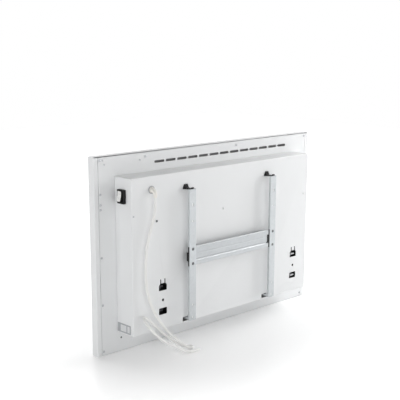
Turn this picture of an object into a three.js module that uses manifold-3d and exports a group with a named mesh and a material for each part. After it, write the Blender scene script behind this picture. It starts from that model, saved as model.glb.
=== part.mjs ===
// Electric panel heater with its wall bracket, standing on its lower edge.
// Millimetres, +Z up. The front faces -Y. Left and right are as seen from behind, so left is +X.
import * as THREE from 'three';
import { mergeVertices } from 'three/addons/utils/BufferGeometryUtils.js';
import Module from 'manifold-3d';

const wasm = await Module();
wasm.setup();

// Driving sizes shared by the whole heater
const panelWidth = 695;
const panelHeight = 440;
const panelDepth = 19.4;
const panelSheet = 1.2;
const clearance = 0.3;
const overrun = 2;

// Flat faces round a turned piece and steps along a bent one
const roundSides = 16;
const flangeSides = 20;
const smallSides = 12;
const screwSides = 8;
const nutSides = 6;
const cordSides = 12;
const leadSides = 8;
const slotSteps = 5;
const bootBendSteps = 7;
const leadSteps = 14;
const cordSteps = 66;
const sleeveSteps = 3;

// Front panel and its rear edge
const lipWidth = 11.2;
const outletGap = 2.4;
const seamGap = 1;

// Heating film and its insulation behind the front sheet
const filmThickness = 0.8;
const filmInset = 30;
const matThickness = 7;
const matInset = 24;

// Rails that carry the back plate
const railSheet = 1.2;
const sideRailWidth = 22;
const topRailHeight = 13;

// Back plate with its row of air slots
const plateSheet = 1.2;
const slotCount = 13;
const slotPitch = 34.1;
const slotLength = 29.9;
const slotHeight = 4.4;
const slotRowShift = -39.9;
const slotRowFromTop = 25.3;
const wireHoleRadius = 5;
const wireHoleFromTray = 33;
const wireHoleRise = 28;

// Pan head screws
const screwHeadRadius = 2.7;
const screwHeadHeight = 1.5;
const screwShankRadius = 1.4;
const screwLength = 5;
const sideScrewInset = 16;
const topScrewInset = 11.5;

// Rear cover
const coverDepth = 54.8;
const coverSheet = 1;
const coverBottom = 47;
const marginOverCover = 45.5;
const marginLeftOfCover = 55.5;
const marginRightOfCover = 62.5;
const coverRailHeight = 16;
const coverRailDepth = 9;
const coverRailSheet = 1.2;

// Vent rows in the top and bottom walls of the cover
const ventStations = 6;
const ventFromLeft = 102;
const ventFromRight = 21;
const ventSlotsInRow = 4;
const ventSlotPitch = 9.6;
const ventSlotLength = 6.6;
const ventSlotWidth = 2.6;

// Posts and screws that hold the cover
const postRadius = 4.5;
const postRowFromTop = 99.5;
const terminalScrewFromSide = 69.5;
const middlePostShift = 13.5;
const farPostFromFarSide = 14.8;

// Sockets for clip-on feet
const leftFootFromSide = 87;
const rightFootFromFarSide = 49.5;
const footOpeningWidth = 20.5;
const footCornerCut = 4;
const upperFootHeight = 16.5;
const upperFootFromBottom = 95.8;
const lowerFootHeight = 15;
const lowerFootFromBottom = 42.4;
const footHoleRadius = 2.4;
const footHoleFromBottom = 67.3;
const prongWidth = 2.4;
const prongHeight = 9.5;
const prongSpacing = 12.5;
const socketWall = 3;
const socketDepth = 14;
const clipSheet = 1.2;
const clipWidth = 7;
const tongueDepth = 5;
const clipHoleRadius = 1.7;

// Rating plate, left bare
const ratingWidth = 43;
const ratingHeight = 20.5;
const ratingThickness = 0.6;
const ratingFromPlate = 3.3;
const ratingFromBottom = 3.3;

// Power switch in the left wall of the cover
const switchFromPlate = 25.8;
const switchFromTop = 40.5;
const collarWidth = 22.5;
const collarHeight = 30.5;
const collarProud = 6.5;
const switchBodyInset = 1;
const switchBodyDepth = 20;
const rockerWidth = 13.5;
const rockerHeight = 23;
const rockerAxisDepth = 3;
const rockerReach = 7.5;
const rockerTravelDeg = 20;
const rockerPocketDepth = 11;
const trunnionRadius = 1.2;
const trunnionLength = 1.2;
const trunnionPlay = 0.25;
const bladeWidth = 4.8;
const bladeThickness = 0.8;
const bladeLength = 8;

// Cord, its gland and its inner end
const cordDiameter = 6;
const glandFromSide = 55;
const glandFromTop = 29.3;
const glandFlangeRadius = 8.5;
const glandFlangeThickness = 2.5;
const glandNeckRadius = 6;
const glandNeckReach = 6;
const bootRadiusAtFlange = 5.4;
const bootRadiusAtCord = 3.9;
const bootBendRadius = 10.5;
const bootTail = 4.4;
const glandNutRadius = 10;
const glandNutThickness = 4;
const endSleeveRadius = 2.5;

// Cord clamp and terminal block on the back plate
const clampWidth = 26;
const clampHeight = 11;
const clampDrop = 44;
const leadOffPlate = 16;
const terminalWidth = 34;
const terminalHeight = 22;
const terminalDepth = 17;
const terminalDrop = 86;
const terminalPitch = 10.5;
const terminalWellRadius = 3;
const terminalWellDepth = 6;

// Control board in its tray
const trayWidth = 68;
const trayHeight = 96;
const trayDepth = 26;
const trayWall = 1.6;
const trayFromSide = 16;
const trayGap = 8;
const boardThickness = 1.6;
const boardOffFloor = 4;
const relayWidth = 19;
const relayDepth = 15;
const relayHeight = 15.5;
const capacitorRadius = 6;
const capacitorLength = 18;

// Finned element in the cover and its brackets
const elementCoreRadius = 6.5;
const elementFinReach = 20;
const elementFinWidth = 2.2;
const elementFins = 8;
const elementFromTray = 18.6;
const elementFromFarSide = 16.8;
const insulatorRadius = 6;
const insulatorLength = 16;
const supportHeight = 44;
const supportSheet = 1.2;
const supportFootLength = 12;
const cutoutRadius = 8.5;
const cutoutHeight = 7;
const cutoutFromTray = 17;
const cutoutRise = 40;
const sensorRadius = 2.2;
const sensorLength = 16;
const sensorHolderSize = 9;
const sensorFromTray = 55;
const sensorFromBottom = 27;
const sensorEntryRise = 12;
const leadRadius = 1.8;

// Wall bracket
const bracketStandOff = 23.8;
const bracketSpan = 266;
const bracketSheet = 1.5;
const uprightWidth = 20;
const uprightFlange = 6;
const uprightFootRise = 10.5;
const uprightTopDrop = 37;
const fixingHoleRadius = 2.5;
const fixingSlotLength = 8;
const hookWidth = 12;
const hookNoseRise = 4.6;
const hookNoseGap = 2.4;
const hookOpeningWidth = 19;
const hookOpeningBelow = 8;
const hookOpeningAbove = 2.4;

// Crossbar and its connectors
const barHeight = 43;
const barDrop = 1.5;
const barSheet = 1.2;
const barRecess = 2.2;
const barReturn = 3.4;
const barRibRise = 1.5;
const tongueHeight = 12;
const tongueReach = 5;
const connectorThickness = 3.6;
const connectorHeight = 44;
const bossHeight = 20;
const bossProud = 7.5;
const boltHeadRadius = 2.7;
const boltShankRadius = 1.6;
const boltSpacing = 33;

// Sliding locks at the top of the bracket
const lockOpeningBase = 21;
const lockOpeningTop = 10.6;
const lockOpeningHeight = 13.5;
const lockOpeningDrop = 2.5;
const lockTravel = 5;
const lockBodyHeight = 24;
const lockBodyDrop = 1;
const lockBodyThickness = 3;
const lockNoseWidth = 8.6;
const lockNoseHeight = 2.8;
const lockToothThickness = 2.4;
const lockToothGap = 0.8;
const lockShieldThickness = 2;
const lockShieldGap = 0.6;
const lockThumbRise = 5;

// Places worked out from the sizes above
const totalDepth = panelDepth + coverDepth + bracketStandOff;
const yFront = -totalDepth / 2;
const yPlate = yFront + panelDepth;
const yCover = yPlate + coverDepth;
const yWall = yCover + bracketStandOff;
const halfWidth = panelWidth / 2;
const coverSide = halfWidth - marginLeftOfCover;
const coverFarSide = marginRightOfCover - halfWidth;
const coverWidth = coverSide - coverFarSide;
const coverMiddle = (coverSide + coverFarSide) / 2;
const coverTop = panelHeight - marginOverCover;
const yInside = yCover - coverSheet;
const plateFloor = yPlate + clearance;
const plateTop = panelHeight - panelSheet - outletGap;
const plateSide = halfWidth - lipWidth - seamGap;
const railBack = yPlate - Math.max(panelSheet, plateSheet) - clearance;
const postRow = coverTop - postRowFromTop;
const glandX = coverSide - glandFromSide;
const glandZ = coverTop - glandFromTop;
const leftFootX = coverSide - leftFootFromSide;
const rightFootX = coverFarSide + rightFootFromFarSide;
const uprightBottom = coverBottom + uprightFootRise;
const uprightTop = coverTop - uprightTopDrop;
const uprightHeight = uprightTop - uprightBottom;
const lockOpeningBottom = uprightTop - lockOpeningDrop;
const barMiddle = uprightBottom + uprightHeight / 2 - barDrop;
const barBottom = barMiddle - barHeight / 2;
const uprightPlaces = {
  left: coverMiddle + bracketSpan / 2,
  right: coverMiddle - bracketSpan / 2,
};
const tiltAxisY = yCover - coverSheet / 2;
const tiltAxisZ = uprightBottom + bracketSheet / 2;
const upperFootZ = coverBottom + upperFootFromBottom;
const lowerFootZ = coverBottom + lowerFootFromBottom;
const footHoleZ = coverBottom + footHoleFromBottom;
const prongTop = upperFootZ + upperFootHeight / 2 + prongHeight;
const socketTop = prongTop + socketWall;
const terminalTop = glandZ - terminalDrop;
const terminalBottom = terminalTop - terminalHeight;
const trayTop = terminalBottom - trayGap;
const trayBottom = trayTop - trayHeight;
const trayRight = coverSide - coverSheet - trayFromSide;
const trayLeft = trayRight - trayWidth;
const elementZ = (socketTop + postRow) / 2;
const elementY = (yPlate + yInside) / 2;
const insulatorReach = clearance + insulatorLength;
const elementEnds = {
  left: trayLeft - elementFromTray - insulatorReach,
  right: coverFarSide + elementFromFarSide + insulatorReach,
};
const wireHoleX = trayLeft - wireHoleFromTray;
const wireHoleZ = trayBottom + wireHoleRise;

// Materials
const makeMaterial = (color, roughness, metalness) =>
  new THREE.MeshStandardMaterial({ color, roughness, metalness });
const whitePaint = makeMaterial(0xdcdedd, 0.45, 0.1);
const platePaint = makeMaterial(0xcdcfcf, 0.5, 0.1);
const galvanised = makeMaterial(0xc6cbce, 0.38, 0.8);
const whitePlastic = makeMaterial(0xeeeeea, 0.4, 0);
const blackPlastic = makeMaterial(0x141414, 0.45, 0);
const zincSteel = makeMaterial(0xb4b8ba, 0.35, 0.85);
const darkScrew = makeMaterial(0x303234, 0.4, 0.7);
const creamCable = makeMaterial(0xebe7db, 0.5, 0);
const filmMaterial = makeMaterial(0x8a5a32, 0.5, 0.1);
const woolMaterial = makeMaterial(0xd8d2b8, 0.95, 0);
const finMaterial = makeMaterial(0xbfc2c4, 0.4, 0.9);
const ceramicMaterial = makeMaterial(0xe9e4d6, 0.6, 0);
const boardMaterial = makeMaterial(0x2f6b45, 0.5, 0);
const relayMaterial = makeMaterial(0x2b4f86, 0.45, 0);
const wireMaterial = makeMaterial(0xd9d4cc, 0.5, 0);
const foilLabel = makeMaterial(0xbcbfc0, 0.45, 0.4);

// A closed geometry as a solid that can be joined and cut
function solid(geometry) {
  geometry.deleteAttribute('normal');
  geometry.deleteAttribute('uv');
  const merged = mergeVertices(geometry);
  return new wasm.Manifold(new wasm.Mesh({
    numProp: 3,
    vertProperties: new Float32Array(merged.attributes.position.array),
    triVerts: new Uint32Array(merged.index.array),
  }));
}

// A block between two limits on each axis
function block([x0, x1], [y0, y1], [z0, z1]) {
  const geometry = new THREE.BoxGeometry(x1 - x0, y1 - y0, z1 - z0);
  geometry.translate((x0 + x1) / 2, (y0 + y1) / 2, (z0 + z1) / 2);
  return solid(geometry);
}

const axes = {
  x: new THREE.Vector3(1, 0, 0),
  y: new THREE.Vector3(0, 1, 0),
  z: new THREE.Vector3(0, 0, 1),
};

// An outline drawn in the plane across an axis and pushed from one place to another along it.
// Across x the outline is (y, z), across y it is (x, z) and across z it is (x, y).
function prism(axis, points, from, to) {
  const outline = new THREE.Shape(points.map(([a, b]) => new THREE.Vector2(a, b)));
  const geometry = new THREE.ExtrudeGeometry(outline, { depth: to - from, bevelEnabled: false });
  const turn = new THREE.Matrix4();
  if (axis === 'x') {
    turn.makeBasis(axes.y, axes.z, axes.x);
    turn.setPosition(from, 0, 0);
  } else if (axis === 'y') {
    turn.makeBasis(axes.x, axes.z, axes.y.clone().negate());
    turn.setPosition(0, to, 0);
  } else {
    turn.setPosition(0, 0, from);
  }
  geometry.applyMatrix4(turn);
  return solid(geometry);
}

// A round bar along an axis, centred on the two other coordinates
function rod(axis, [a, b], from, to, radius, sides = roundSides) {
  const points = [];
  for (let i = 0; i < sides; i += 1) {
    const angle = (2 * Math.PI * (i + 0.5)) / sides;
    points.push([a + radius * Math.cos(angle), b + radius * Math.sin(angle)]);
  }
  return prism(axis, points, from, to);
}

// The outline of a slot with round ends, long in its first coordinate
function slotOutline([a, b], length, height) {
  const radius = height / 2;
  const reach = length / 2 - radius;
  const points = [];
  for (const end of [1, -1]) {
    for (let i = 0; i <= slotSteps; i += 1) {
      const angle = -end * (Math.PI / 2) + (end * Math.PI * i) / slotSteps;
      points.push([a + end * (reach + radius * Math.cos(angle)), b + radius * Math.sin(angle)]);
    }
  }
  return points;
}

// A trapezium standing on its longer side
function trapezium(x, bottom, base, top, height) {
  return [
    [x - base / 2, bottom],
    [x + base / 2, bottom],
    [x + top / 2, bottom + height],
    [x - top / 2, bottom + height],
  ];
}

const join = (solids) => solids.reduce((sum, next) => sum.add(next));
const cut = (body, tools) => tools.reduce((rest, tool) => rest.subtract(tool), body);

// A pan head screw or bolt turned about its own axis, its head facing +Y from a face at y = 0
function panScrew(length) {
  const profile = [
    [0, -length],
    [screwShankRadius, -length],
    [screwShankRadius, clearance],
    [screwHeadRadius, clearance],
    [screwHeadRadius, clearance + screwHeadHeight / 2],
    [0, clearance + screwHeadHeight],
  ].map(([r, y]) => new THREE.Vector2(r, y));
  return solid(new THREE.LatheGeometry(profile, screwSides));
}

// Sides round a tube that follows points, closed at both ends
function tube(points, radius, sides, steps) {
  const curve = new THREE.CatmullRomCurve3(points.map((point) => new THREE.Vector3(...point)));
  const ring = [];
  for (let i = 0; i < sides; i += 1) {
    const angle = (2 * Math.PI * i) / sides;
    ring.push(new THREE.Vector2(radius * Math.cos(angle), radius * Math.sin(angle)));
  }
  const options = { steps, extrudePath: curve, bevelEnabled: false };
  return solid(new THREE.ExtrudeGeometry(new THREE.Shape(ring), options));
}

const heater = new THREE.Group();
const bracket = new THREE.Group();
heater.add(bracket);

// Puts a finished solid into the model under its own name
function addPiece(name, shape, material, parent = heater) {
  const { vertProperties, triVerts } = shape.getMesh();
  const geometry = new THREE.BufferGeometry();
  geometry.setAttribute('position', new THREE.BufferAttribute(new Float32Array(vertProperties), 3));
  geometry.setIndex(new THREE.BufferAttribute(new Uint32Array(triVerts), 1));
  geometry.computeVertexNormals();
  const mesh = new THREE.Mesh(geometry, material);
  mesh.name = name;
  parent.add(mesh);
  return mesh;
}

// Front panel: one folded sheet with lips at both sides and an air outlet under its top edge
function makeFrontPanel() {
  const inner = halfWidth - panelSheet;
  const open = halfWidth - lipWidth;
  const lipZone = [yPlate - panelSheet - overrun, yPlate + overrun];
  const insideHeight = [panelSheet, panelHeight - panelSheet];
  const tray = block([-halfWidth, halfWidth], [yFront, yPlate], [0, panelHeight]);
  return cut(tray, [
    block([-inner, inner], [yFront + panelSheet, yPlate - panelSheet], insideHeight),
    block([-open, open], lipZone, insideHeight),
    block([-inner, inner], lipZone, [plateTop, panelHeight - panelSheet]),
  ]);
}
addPiece('front_panel', makeFrontPanel(), whitePaint);

// Heating film and insulation
const filmFront = yFront + panelSheet + clearance;
const filmBack = filmFront + filmThickness;
const matFront = filmBack + clearance;
const matBack = matFront + matThickness;
function makeSheet(inset, front, back) {
  const reach = halfWidth - inset;
  return block([-reach, reach], [front, back], [inset, panelHeight - inset]);
}
addPiece('heating_film', makeSheet(filmInset, filmFront, filmBack), filmMaterial);
const leadHole = rod('y', [wireHoleX, wireHoleZ], matFront - overrun, yPlate + overrun,
  leadRadius + clearance, smallSides);
addPiece('insulation_mat', cut(makeSheet(matInset, matFront, matBack), [leadHole]), woolMaterial);

// Screw places on the back plate: down both sides as shares of the panel's height,
// and along the top as shares of its width from the left
const sideScrewShares = [0.0238, 0.263, 0.503, 0.741, 0.979];
const extraScrewShares = [0.7641, 0.8146];
const topScrewShares = [0.2047, 0.6157];
const sideScrewX = halfWidth - sideScrewInset;
const screwPlaces = [
  ...sideScrewShares.flatMap((share) => [
    [sideScrewX, share * panelHeight],
    [-sideScrewX, share * panelHeight],
  ]),
  ...extraScrewShares.map((share) => [sideScrewX, share * panelHeight]),
  ...topScrewShares.map((share) => [halfWidth - share * panelWidth, panelHeight - topScrewInset]),
];
const screwHoles = (from, to) => screwPlaces.map((place) =>
  rod('y', place, from, to, screwShankRadius + clearance, screwSides));

// Rails behind the plate's edges
function makeRail(xLimits, zLimits) {
  const rail = block(xLimits, [railBack - railSheet, railBack], zLimits);
  return cut(rail, screwHoles(railBack - railSheet - overrun, railBack + overrun));
}
const railEdge = halfWidth - panelSheet - clearance;
const railInner = railEdge - sideRailWidth;
const railBottom = panelSheet + clearance;
const railTop = plateTop - clearance;
addPiece('side_rail_left', makeRail([railInner, railEdge], [railBottom, railTop]), zincSteel);
addPiece('side_rail_right', makeRail([-railEdge, -railInner], [railBottom, railTop]), zincSteel);
const topRailReach = railInner - clearance;
addPiece('top_rail', makeRail([-topRailReach, topRailReach], [railTop - topRailHeight, railTop]),
  zincSteel);

// Back plate
function makeBackPlate() {
  const plate = block([-plateSide, plateSide], [yPlate - plateSheet, yPlate], [railBottom, plateTop]);
  const through = [yPlate - plateSheet - overrun, yPlate + overrun];
  const slots = [];
  for (let i = 0; i < slotCount; i += 1) {
    const x = slotRowShift + (i - (slotCount - 1) / 2) * slotPitch;
    const outline = slotOutline([x, panelHeight - slotRowFromTop], slotLength, slotHeight);
    slots.push(prism('y', outline, ...through));
  }
  const wireHole = rod('y', [wireHoleX, wireHoleZ], ...through, wireHoleRadius);
  return cut(plate, [...slots, ...screwHoles(...through), wireHole]);
}
addPiece('back_plate', makeBackPlate(), platePaint);

// Grommet round the film's lead where it passes the plate
function makeGrommet() {
  const front = yPlate - plateSheet - clearance;
  const place = [wireHoleX, wireHoleZ];
  const body = join([
    rod('y', place, front - plateSheet, plateFloor + plateSheet, wireHoleRadius - clearance),
    rod('y', place, plateFloor, plateFloor + plateSheet, wireHoleRadius + plateSheet),
  ]);
  const bore = leadRadius + clearance;
  return cut(body, [
    rod('y', place, front - plateSheet - overrun, plateFloor + plateSheet + overrun, bore, smallSides),
  ]);
}
addPiece('wire_grommet', makeGrommet(), blackPlastic);

// Openings in the rear cover for one clip-on foot
const throughCover = [yInside - overrun, yCover + overrun];
const prongLimitsZ = [prongTop - prongHeight - clearance, prongTop];
const prongLimitsX = (x, side) => {
  const centre = x + (side * prongSpacing) / 2;
  return [centre - prongWidth / 2, centre + prongWidth / 2];
};
function footOpenings(x) {
  const half = footOpeningWidth / 2;
  const bottom = upperFootZ - upperFootHeight / 2;
  const top = upperFootZ + upperFootHeight / 2;
  const upperOutline = [
    [x - half, bottom],
    [x + half, bottom],
    [x + half, top - footCornerCut],
    [x + half - footCornerCut, top],
    [x - half + footCornerCut, top],
    [x - half, top - footCornerCut],
  ];
  const lowerLimits = [lowerFootZ - lowerFootHeight / 2, lowerFootZ + lowerFootHeight / 2];
  return [
    prism('y', upperOutline, ...throughCover),
    ...[-1, 1].map((side) => block(prongLimitsX(x, side), throughCover, prongLimitsZ)),
    block([x - half, x + half], throughCover, lowerLimits),
    rod('y', [x, footHoleZ], ...throughCover, footHoleRadius, smallSides),
  ];
}

// Openings behind one upright: a tapering one for the lock, a square one for the hook
function bracketOpenings(x) {
  const lockOutline = trapezium(x, lockOpeningBottom, lockOpeningBase, lockOpeningTop, lockOpeningHeight);
  const half = hookOpeningWidth / 2;
  return [
    prism('y', lockOutline, ...throughCover),
    block([x - half, x + half], throughCover, [tiltAxisZ - hookOpeningBelow, tiltAxisZ + hookOpeningAbove]),
  ];
}

// Rows of short vent slots across the cover's top or bottom wall
function ventRows(zLimits) {
  const rows = [];
  const middle = (yPlate + yCover) / 2;
  const pitch = (coverWidth - ventFromLeft - ventFromRight) / (ventStations - 1);
  for (let station = 0; station < ventStations; station += 1) {
    const x = coverSide - ventFromLeft - station * pitch;
    for (let i = 0; i < ventSlotsInRow; i += 1) {
      const y = middle + (i - (ventSlotsInRow - 1) / 2) * ventSlotPitch;
      const yLimits = [y - ventSlotLength / 2, y + ventSlotLength / 2];
      rows.push(block([x - ventSlotWidth / 2, x + ventSlotWidth / 2], yLimits, zLimits));
    }
  }
  return rows;
}

const coverScrews = {
  terminal_screw: [coverSide - terminalScrewFromSide, postRow],
  cover_screw_middle: [coverMiddle + middlePostShift, postRow],
  cover_screw_right: [coverFarSide + farPostFromFarSide, postRow],
};
const switchY = yPlate + switchFromPlate;
const switchZ = coverTop - switchFromTop;
const bodyHalfWidth = collarWidth / 2 - switchBodyInset;
const bodyHalfHeight = collarHeight / 2 - switchBodyInset;

// Rear cover
function makeRearCover() {
  const outside = block([coverFarSide, coverSide], [plateFloor, yCover], [coverBottom, coverTop]);
  const hollow = block(
    [coverFarSide + coverSheet, coverSide - coverSheet],
    [plateFloor - overrun, yInside],
    [coverBottom + coverSheet, coverTop - coverSheet],
  );
  const switchHole = block(
    [coverSide - coverSheet - overrun, coverSide + overrun],
    [switchY - bodyHalfWidth - clearance, switchY + bodyHalfWidth + clearance],
    [switchZ - bodyHalfHeight - clearance, switchZ + bodyHalfHeight + clearance],
  );
  const screwHole = screwShankRadius + clearance;
  return cut(outside, [
    hollow,
    switchHole,
    rod('y', [glandX, glandZ], ...throughCover, glandNeckRadius + clearance),
    ...footOpenings(leftFootX),
    ...footOpenings(rightFootX),
    ...Object.values(uprightPlaces).flatMap(bracketOpenings),
    ...ventRows([coverTop - coverSheet - overrun, coverTop + overrun]),
    ...ventRows([coverBottom - overrun, coverBottom + coverSheet + overrun]),
    ...Object.values(coverScrews).map((place) =>
      rod('y', place, ...throughCover, screwHole, screwSides)),
  ]);
}
addPiece('rear_cover', makeRearCover(), whitePaint);

// Posts between the plate and the cover, and the screws into them
function makePost(place) {
  const hole = screwShankRadius + clearance;
  return cut(rod('y', place, plateFloor, yInside - clearance, postRadius, nutSides), [
    rod('y', place, yInside - screwLength - overrun, yInside + overrun, hole, screwSides),
  ]);
}
const makeScrew = ([x, z], y) => panScrew(screwLength).translate([x, y, z]);
for (const [name, place] of Object.entries(coverScrews)) {
  const finish = name === 'terminal_screw' ? darkScrew : whitePaint;
  addPiece(name, makeScrew(place, yCover), finish);
  addPiece(name.replace('screw', 'post'), makePost(place), zincSteel);
}

// Angle rail on the plate, just above the cover's bottom wall
function makeCoverRail() {
  const xLimits = [coverFarSide + coverRailHeight, coverSide - coverRailHeight];
  const bottom = coverBottom + coverSheet + clearance;
  return join([
    block(xLimits, [plateFloor, plateFloor + coverRailSheet], [bottom, bottom + coverRailHeight]),
    block(xLimits, [plateFloor, plateFloor + coverRailDepth], [bottom, bottom + coverRailSheet]),
  ]);
}
addPiece('cover_rail', makeCoverRail(), zincSteel);

// Foot sockets: moulded blocks with pockets for the foot's hooks and prongs
const socketBack = yInside - clearance;
const pocketFloor = socketBack - socketDepth + socketWall;
const clipFront = pocketFloor + clearance;
const clipBack = clipFront + clipSheet;
function makeFootSocket(x) {
  const half = footOpeningWidth / 2;
  const pocketY = [pocketFloor, socketBack + overrun];
  const body = block(
    [x - half - socketWall, x + half + socketWall],
    [socketBack - socketDepth, socketBack],
    [lowerFootZ - lowerFootHeight / 2 - socketWall, socketTop],
  );
  const pocket = (centre, height) =>
    block([x - half, x + half], pocketY, [centre - height / 2, centre + height / 2]);
  const clipHalf = clipWidth / 2 + clearance;
  return cut(body, [
    pocket(upperFootZ, upperFootHeight),
    pocket(lowerFootZ, lowerFootHeight),
    ...[-1, 1].map((side) => block(prongLimitsX(x, side), pocketY, prongLimitsZ)),
    block([x - clipHalf, x + clipHalf], [pocketFloor, clipBack + clearance], [lowerFootZ, upperFootZ]),
    rod('y', [x, footHoleZ], ...pocketY, footHoleRadius, smallSides),
  ]);
}
addPiece('foot_socket_left', makeFootSocket(leftFootX), blackPlastic);
addPiece('foot_socket_right', makeFootSocket(rightFootX), blackPlastic);

// Foot clip: a steel strip behind the screw hole with a tongue in each pocket
function makeFootClip(x) {
  const half = footOpeningWidth / 2 - clearance;
  const tongue = (z) => block(
    [x - half, x + half],
    [clipFront, clipFront + tongueDepth],
    [z - clipSheet / 2, z + clipSheet / 2],
  );
  const strip = block(
    [x - clipWidth / 2, x + clipWidth / 2],
    [clipFront, clipBack],
    [lowerFootZ - clipSheet / 2, upperFootZ + clipSheet / 2],
  );
  return cut(join([strip, tongue(upperFootZ), tongue(lowerFootZ)]), [
    rod('y', [x, footHoleZ], clipFront - overrun, clipBack + overrun, clipHoleRadius, smallSides),
  ]);
}
addPiece('foot_clip_left', makeFootClip(leftFootX), zincSteel);
addPiece('foot_clip_right', makeFootClip(rightFootX), zincSteel);

// Rating plate
function makeRatingPlate() {
  const y = yPlate + ratingFromPlate;
  const z = coverBottom + ratingFromBottom;
  const x = coverSide + clearance;
  return block([x, x + ratingThickness], [y, y + ratingWidth], [z, z + ratingHeight]);
}
addPiece('rating_plate', makeRatingPlate(), foilLabel);

// Power switch: a raised collar with its body behind the wall, and a rocker on two trunnions
const switchTip = coverSide + collarProud;
const rockerAxisX = switchTip - rockerAxisDepth;
const rockerTilt = THREE.MathUtils.degToRad(rockerTravelDeg / 2);
const rockerSwing = Math.hypot(rockerHeight / 2, rockerReach);
const rockerSpread = Math.atan2(rockerReach, rockerHeight / 2);
const pocketHalfWidth = rockerWidth / 2 + clearance;
const pocketHalfHeight = rockerSwing * Math.cos(rockerSpread - rockerTilt) + clearance;
const trunnionHalf = rockerWidth / 2 + trunnionLength;
function makeSwitchHousing() {
  const collar = block(
    [coverSide + clearance, switchTip],
    [switchY - collarWidth / 2, switchY + collarWidth / 2],
    [switchZ - collarHeight / 2, switchZ + collarHeight / 2],
  );
  const body = block(
    [coverSide - switchBodyDepth, coverSide + collarProud / 2],
    [switchY - bodyHalfWidth, switchY + bodyHalfWidth],
    [switchZ - bodyHalfHeight, switchZ + bodyHalfHeight],
  );
  const pocket = block(
    [switchTip - rockerPocketDepth, switchTip + overrun],
    [switchY - pocketHalfWidth, switchY + pocketHalfWidth],
    [switchZ - pocketHalfHeight, switchZ + pocketHalfHeight],
  );
  const bearingReach = trunnionHalf + clearance;
  const bearing = rod('y', [rockerAxisX, switchZ], switchY - bearingReach, switchY + bearingReach,
    trunnionRadius + trunnionPlay, roundSides);
  return cut(collar.add(body), [pocket, bearing]);
}
addPiece('switch_housing', makeSwitchHousing(), blackPlastic);

// Side view of the rocker, as shares of half its height and of its corner's reach:
// two finger faces that meet in a shallow valley, narrowing inwards
const rockerOutlineShares = [
  [1, -1], [0.72, 0], [1, 1], [0, 1], [-0.5, 0.45], [-0.5, -0.45], [0, -1],
];
function makeRocker() {
  const outline = rockerOutlineShares.map(([out, up]) =>
    [out * rockerReach, (up * rockerHeight) / 2]);
  return join([
    prism('y', outline, -rockerWidth / 2, rockerWidth / 2),
    rod('y', [0, 0], -trunnionHalf, trunnionHalf, trunnionRadius, roundSides),
  ]);
}
const rocker = addPiece('rocker', makeRocker(), whitePlastic);
rocker.position.set(rockerAxisX, switchY, switchZ);
rocker.rotation.y = -rockerTilt;

// Blade contacts at the back of the switch
const bladeStart = coverSide - switchBodyDepth - clearance;
const bladeEnd = bladeStart - bladeLength;
const bladeHeights = {
  switch_blade_upper: switchZ + bodyHalfHeight / 2,
  switch_blade_lower: switchZ - bodyHalfHeight / 2,
};
for (const [name, z] of Object.entries(bladeHeights)) {
  addPiece(name, block(
    [bladeEnd, bladeStart],
    [switchY - bladeThickness / 2, switchY + bladeThickness / 2],
    [z - bladeWidth / 2, z + bladeWidth / 2],
  ), zincSteel);
}

// Boot of the cord gland: a tapering elbow that turns the cord from straight back to straight down
function makeBoot(start) {
  const length = (bootBendRadius * Math.PI) / 2 + bootTail;
  const taper = (bootRadiusAtCord - bootRadiusAtFlange) / length;
  const rings = [
    { y: start - glandFlangeThickness / 2, z: glandZ, angle: 0, radius: bootRadiusAtFlange },
  ];
  for (let i = 0; i <= bootBendSteps; i += 1) {
    const angle = ((Math.PI / 2) * i) / bootBendSteps;
    rings.push({
      y: start + bootBendRadius * Math.sin(angle),
      z: glandZ - bootBendRadius * (1 - Math.cos(angle)),
      angle,
      radius: bootRadiusAtFlange + taper * bootBendRadius * angle,
    });
  }
  const bendEnd = rings[rings.length - 1];
  rings.push({ ...bendEnd, z: bendEnd.z - bootTail, radius: bootRadiusAtCord });
  return loft(rings);
}

// A closed skin over rings of points that stand across a path in the plane of the gland
function loft(rings) {
  const positions = [];
  for (const { y, z, angle, radius } of rings) {
    for (let i = 0; i < smallSides; i += 1) {
      const turn = (2 * Math.PI * i) / smallSides;
      const up = radius * Math.sin(turn);
      positions.push(glandX + radius * Math.cos(turn), y + up * Math.sin(angle), z + up * Math.cos(angle));
    }
  }
  const ends = [rings[0], rings[rings.length - 1]];
  for (const { y, z } of ends) {
    positions.push(glandX, y, z);
  }
  const firstCentre = rings.length * smallSides;
  const lastRing = firstCentre - smallSides;
  const index = [];
  for (let i = 0; i < smallSides; i += 1) {
    const next = (i + 1) % smallSides;
    for (let ring = 0; ring < lastRing; ring += smallSides) {
      const above = ring + smallSides;
      index.push(ring + i, above + i, ring + next, ring + next, above + i, above + next);
    }
    index.push(firstCentre, i, next, firstCentre + 1, lastRing + next, lastRing + i);
  }
  const geometry = new THREE.BufferGeometry();
  geometry.setAttribute('position', new THREE.BufferAttribute(new Float32Array(positions), 3));
  geometry.setIndex(index);
  return solid(geometry);
}

// Cord gland: a flange on the cover, a neck through it and the boot
const flangeBack = yCover + clearance + glandFlangeThickness;
const neckEnd = yInside - glandNeckReach;
function makeGland() {
  const place = [glandX, glandZ];
  return join([
    rod('y', place, yCover + clearance, flangeBack, glandFlangeRadius, flangeSides),
    rod('y', place, neckEnd, flangeBack - glandFlangeThickness / 2, glandNeckRadius),
    makeBoot(flangeBack),
  ]);
}
addPiece('cord_gland', makeGland(), creamCable);
function makeGlandNut() {
  const place = [glandX, glandZ];
  const limits = [yInside - clearance - glandNutThickness, yInside - clearance];
  return cut(rod('y', place, ...limits, glandNutRadius, nutSides), [
    rod('y', place, limits[0] - overrun, limits[1] + overrun, glandNeckRadius + clearance),
  ]);
}
addPiece('gland_nut', makeGlandNut(), whitePlastic);

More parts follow.
